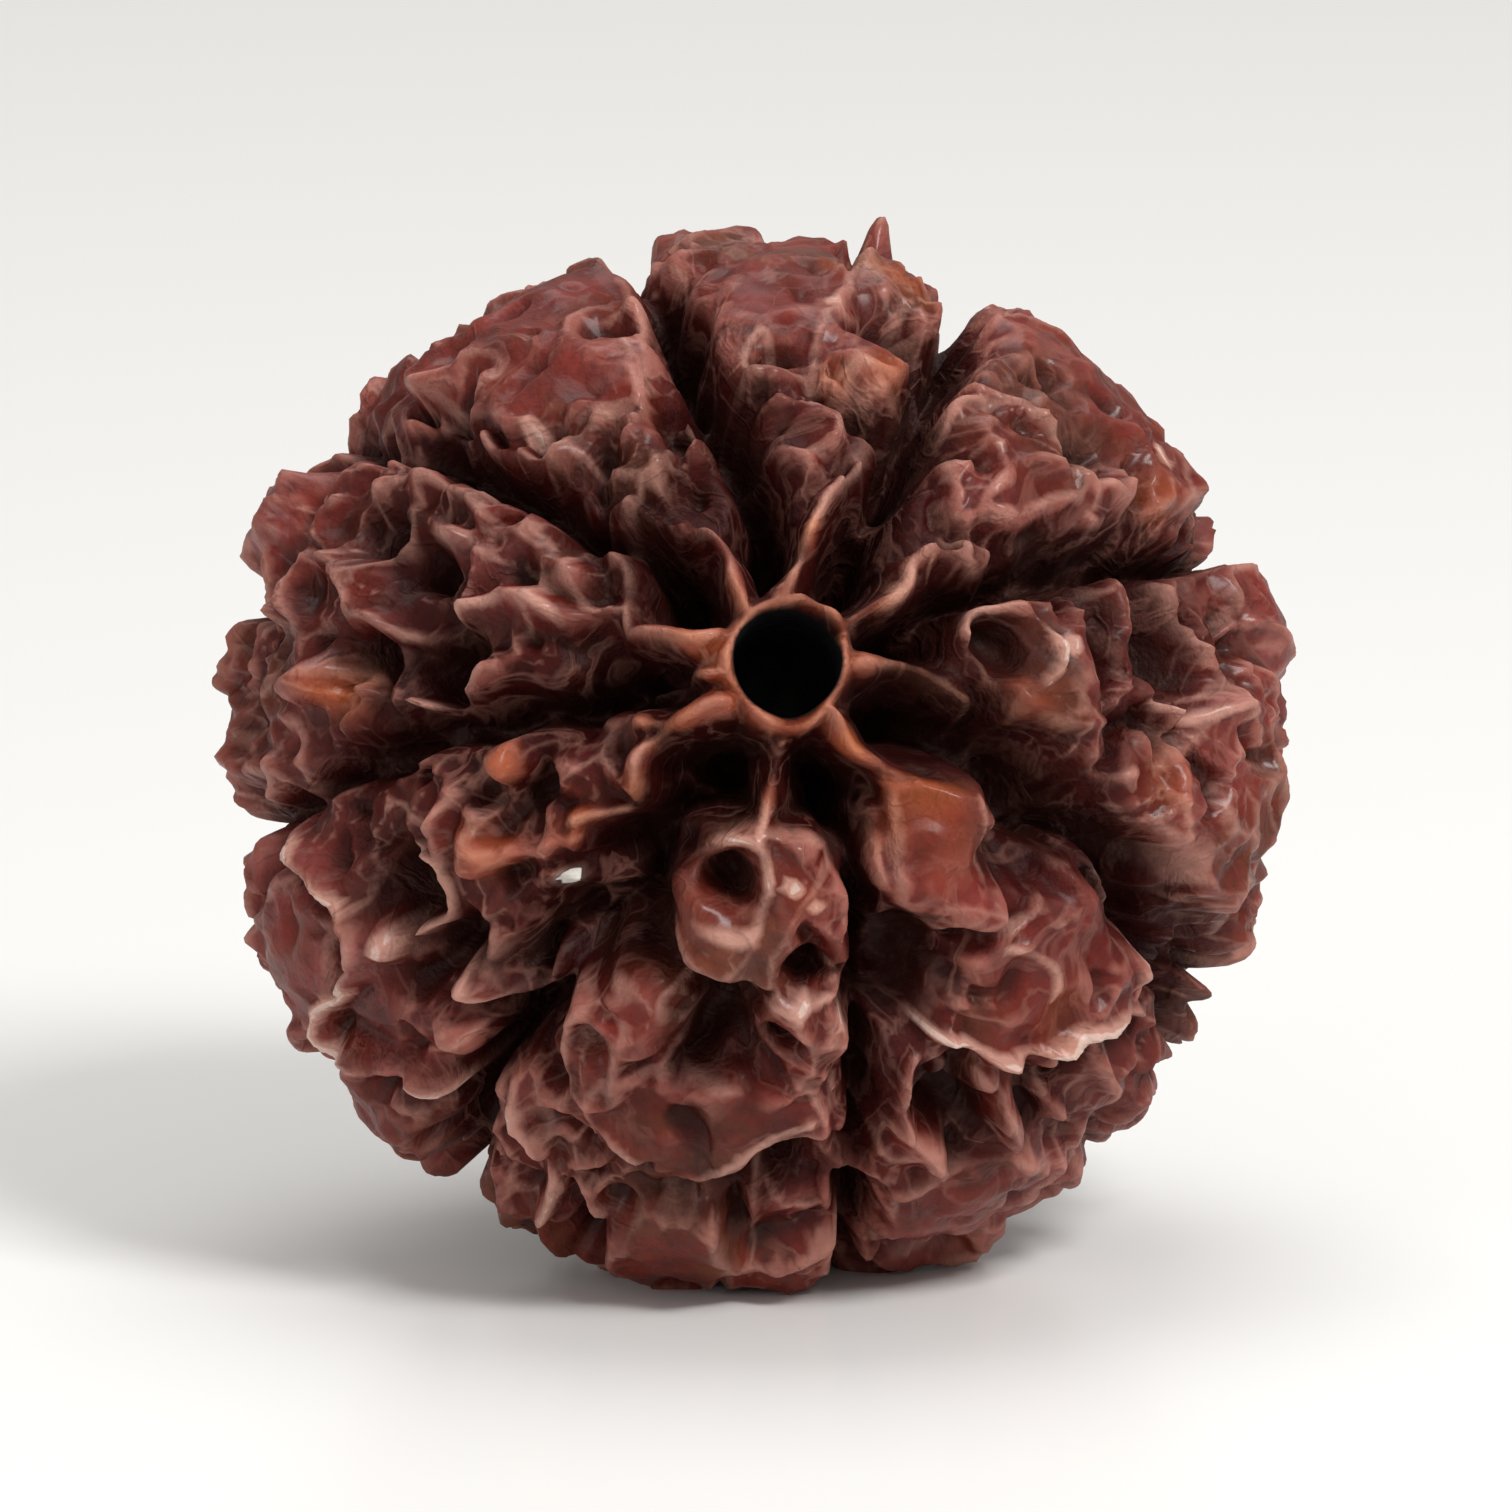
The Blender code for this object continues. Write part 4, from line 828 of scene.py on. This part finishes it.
def mix(factor, a, b, blend="MIX"):
    node = nodes.new("ShaderNodeMix")
    node.data_type = "RGBA"
    node.blend_type = blend
    for socket, value in ((node.inputs["Factor"], factor), (node.inputs[6], a), (node.inputs[7], b)):
        if isinstance(value, bpy.types.NodeSocket):
            links.new(value, socket)
        elif isinstance(value, tuple):
            socket.default_value = (*value, 1.0)
        else:
            socket.default_value = value
    return node.outputs[2]


def maths(operation, a, b):
    node = nodes.new("ShaderNodeMath")
    node.operation = operation
    for socket, value in zip(node.inputs, (a, b)):
        if isinstance(value, bpy.types.NodeSocket):
            links.new(value, socket)
        else:
            socket.default_value = value
    return node.outputs[0]


mottle = noise(MOTTLE_SCALE, 4.0)
speckle = noise(SPECKLE_SCALE, 4.0, 0.65)
curls = noise(CURL_SCALE, 3.0, 0.5, 1.4)
curls = ramp(curls, [(0.44, 0.0), (0.49, 1.0), (0.51, 1.0), (0.56, 0.0)])
shade = maths("ADD", read("height"), maths("MULTIPLY", maths("SUBTRACT", mottle, 0.5), 0.30))
hue = ramp(noise(HUE_SCALE, 3.0, 0.6, 0.8), [
    (0.34, (0.115, 0.026, 0.010)),
    (0.45, (0.135, 0.015, 0.007)),
    (0.54, (0.155, 0.015, 0.009)),
    (0.64, (0.190, 0.038, 0.032)),
])
# Painted shade: the wood's colour is darkened with depth, to near black in the deepest hollows, and
# the mottle varies it at random.
painted_depth_shade = ramp(shade, [
    (0.16, (0.15, 0.05, 0.04)),
    (0.46, (0.27, 0.15, 0.12)),
    (0.70, (0.66, 0.60, 0.56)),
    (0.92, (1.0, 1.0, 1.0)),
])
body = mix(1.0, hue, painted_depth_shade, "MULTIPLY")
flecked = ramp(speckle, [(0.35, (0.42, 0.38, 0.38)), (0.62, (1.25, 1.25, 1.25))])
body = mix(0.7, body, flecked, "MULTIPLY")
redder = maths("MULTIPLY", maths("MULTIPLY", read("red"), 0.8), painted_depth_shade)
body = mix(redder, body, STRONG_RED)
patches = ramp(noise(PATCH_SCALE, 2.0), [(0.40, 0.10), (0.64, 1.0)])
high = ramp(shade, [(0.44, 0.0), (0.66, 1.0)])
rubbed = ramp(maths("ADD", read("fine_crest"), maths("MULTIPLY", mottle, 0.10)), [
    (0.66, 0.0), (0.95, 0.7)])
rubbed = maths("MULTIPLY", maths("MULTIPLY", rubbed, patches), high)
body = mix(rubbed, body, DUSTY_PINK)
curled = maths("MULTIPLY", maths("MULTIPLY", curls, patches), 0.26)
body = mix(curled, body, CURL_PINK)
faded = mix(read("orange"), FADED_PINK, FADED_ORANGE)
faded = mix(ramp(read("pale"), [(0.90, 0.0), (1.0, 0.6)]), faded, BONE)
# Painted glint: where pale is over 1.45, only at the two strongest flecks, the colour turns near
# white.
painted_glint = ramp(maths("SUBTRACT", read("pale"), 1.45), [(0.0, 0.0), (0.15, 1.0)])
worn_edge = maths("MULTIPLY", read("pale"), maths("ADD", speckle, 0.35))
worn_edge = ramp(worn_edge, [(0.14, 0.0), (0.62, 0.85)])
# Painted shade: the broad low places between the crests are darkened to a near-black brown.
broad_hollow_shade = ramp(read("broad_crest"), [(0.15, 1.0), (0.48, 0.0)])
body = mix(maths("MULTIPLY", broad_hollow_shade, 0.78), body, PAINTED_SHADE_BROWN)
patchy = ramp(maths("MULTIPLY", read("orange"), maths("ADD", mottle, 0.45)), [
    (0.12, 0.0), (0.75, 0.75)])
body = mix(maths("MULTIPLY", patchy, high), body, ORANGE_WOOD)
worn_edge = maths("MULTIPLY", worn_edge, ramp(shade, [(0.30, 0.1), (0.60, 1.0)]))
body = mix(worn_edge, body, faded)
body = mix(painted_glint, body, GLINT_WHITE)
# Painted shade: black inside the bore.
body = mix(read("bore"), body, BORE_SHADE_BLACK)
links.new(body, shader.inputs["Base Color"])
dull = ramp(speckle, [(0.3, 0.50), (0.7, 0.68)])
links.new(mix(read("bore"), dull, FULLY_ROUGH), shader.inputs["Roughness"])
shader.inputs["Specular IOR Level"].default_value = OIL_SHINE
links.new(ramp(shade, [(0.50, 0.0), (0.85, 0.28)]), shader.inputs["Coat Weight"])
shader.inputs["Coat Roughness"].default_value = POLISH_ROUGHNESS
grain = maths("ADD", speckle, maths("MULTIPLY", noise(GRAIN_SCALE, 3.0), 0.4))
grain = maths("ADD", grain, maths("MULTIPLY", curls, 0.5))
bump = nodes.new("ShaderNodeBump")
bump.inputs["Strength"].default_value = GRAIN_STRENGTH
bump.inputs["Distance"].default_value = GRAIN_DEPTH
links.new(grain, bump.inputs["Height"])
links.new(bump.outputs["Normal"], shader.inputs["Normal"])
stone.data.materials.clear()
stone.data.materials.append(wood)

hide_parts("bead")
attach(stone, "root")

# The floor: one wide flat sheet of smooth white board, with a slight shine that gives back a faint
# image of the bead.
BOARD_SIDE = 4.0
BOARD_WHITE = (0.86, 0.85, 0.83, 1.0)
bpy.ops.mesh.primitive_plane_add(size=1.0, location=(0, 0, 0))
sweep = bpy.context.object
sweep.name = "white_board"
bpy.ops.object.mode_set(mode="EDIT")
bpy.ops.mesh.select_all(action="SELECT")
bpy.ops.transform.resize(value=(BOARD_SIDE, BOARD_SIDE, 1.0))
bpy.ops.object.mode_set(mode="OBJECT")
board = bpy.data.materials.new("white_board")
board.use_nodes = True
face = board.node_tree.nodes["Principled BSDF"]
face.inputs["Base Color"].default_value = BOARD_WHITE
face.inputs["Roughness"].default_value = 0.28
sweep.data.materials.append(board)

# Light: a broad soft window high on the right, a weaker one on the left, one overhead, and a pale
# room all round that fills the shadow.
BEAD_MIDDLE = (0, 0, 0.011)


def window(name, place_at, look_at, width, height, power):
    bpy.ops.object.light_add(type="AREA", location=place_at)
    lamp = bpy.context.object
    lamp.name = name
    lamp.data.shape = "RECTANGLE"
    lamp.data.size = width
    lamp.data.size_y = height
    lamp.data.energy = power
    away = np.array(look_at) - np.array(place_at)
    lamp.rotation_euler = Vector(away).to_track_quat("-Z", "Y").to_euler()
    return lamp


window("key", (0.13, -0.16, 0.24), BEAD_MIDDLE, 0.09, 0.09, 0.75)
window("fill", (-0.24, -0.18, 0.10), BEAD_MIDDLE, 0.10, 0.10, 0.12)
window("top", (0.0, 0.10, 0.30), BEAD_MIDDLE, 0.20, 0.20, 0.45)
room = bpy.data.worlds.new("pale_room")
room.use_nodes = True
room.node_tree.nodes["Background"].inputs["Color"].default_value = (1.0, 0.99, 0.97, 1.0)
room.node_tree.nodes["Background"].inputs["Strength"].default_value = 0.45
bpy.context.scene.world = room
bpy.context.scene.view_settings.view_transform = "Standard"

# The camera: a long lens, a little above the table and a little to the left of the bead's mouth,
# framed so that the girth takes the same width of the image as in the photograph.
IMAGE_SIDE = 1512
GIRTH_IN_IMAGE = 1062
CAMERA_LEFT = math.radians(4.5)
CAMERA_UP = math.radians(12.4)
CAMERA_AWAY = 0.40
SENSOR_WIDTH = 36.0
toward = np.array([
    -math.sin(CAMERA_LEFT) * math.cos(CAMERA_UP),
    -math.cos(CAMERA_LEFT) * math.cos(CAMERA_UP),
    math.sin(CAMERA_UP),
])
target = np.array([0.0, 0.0, CENTRE_HEIGHT / 1000])
bpy.ops.object.camera_add(location=tuple(target + CAMERA_AWAY * toward))
camera = bpy.context.object
camera.rotation_euler = (math.pi / 2 - CAMERA_UP, 0.0, -CAMERA_LEFT)
camera.data.sensor_width = SENSOR_WIDTH
seen = 2 * GIRTH_RADIUS / 1000 * IMAGE_SIDE / GIRTH_IN_IMAGE
camera.data.lens = SENSOR_WIDTH * CAMERA_AWAY / seen
camera.data.clip_start = 0.01
camera.data.clip_end = 10.0
bpy.context.scene.camera = camera
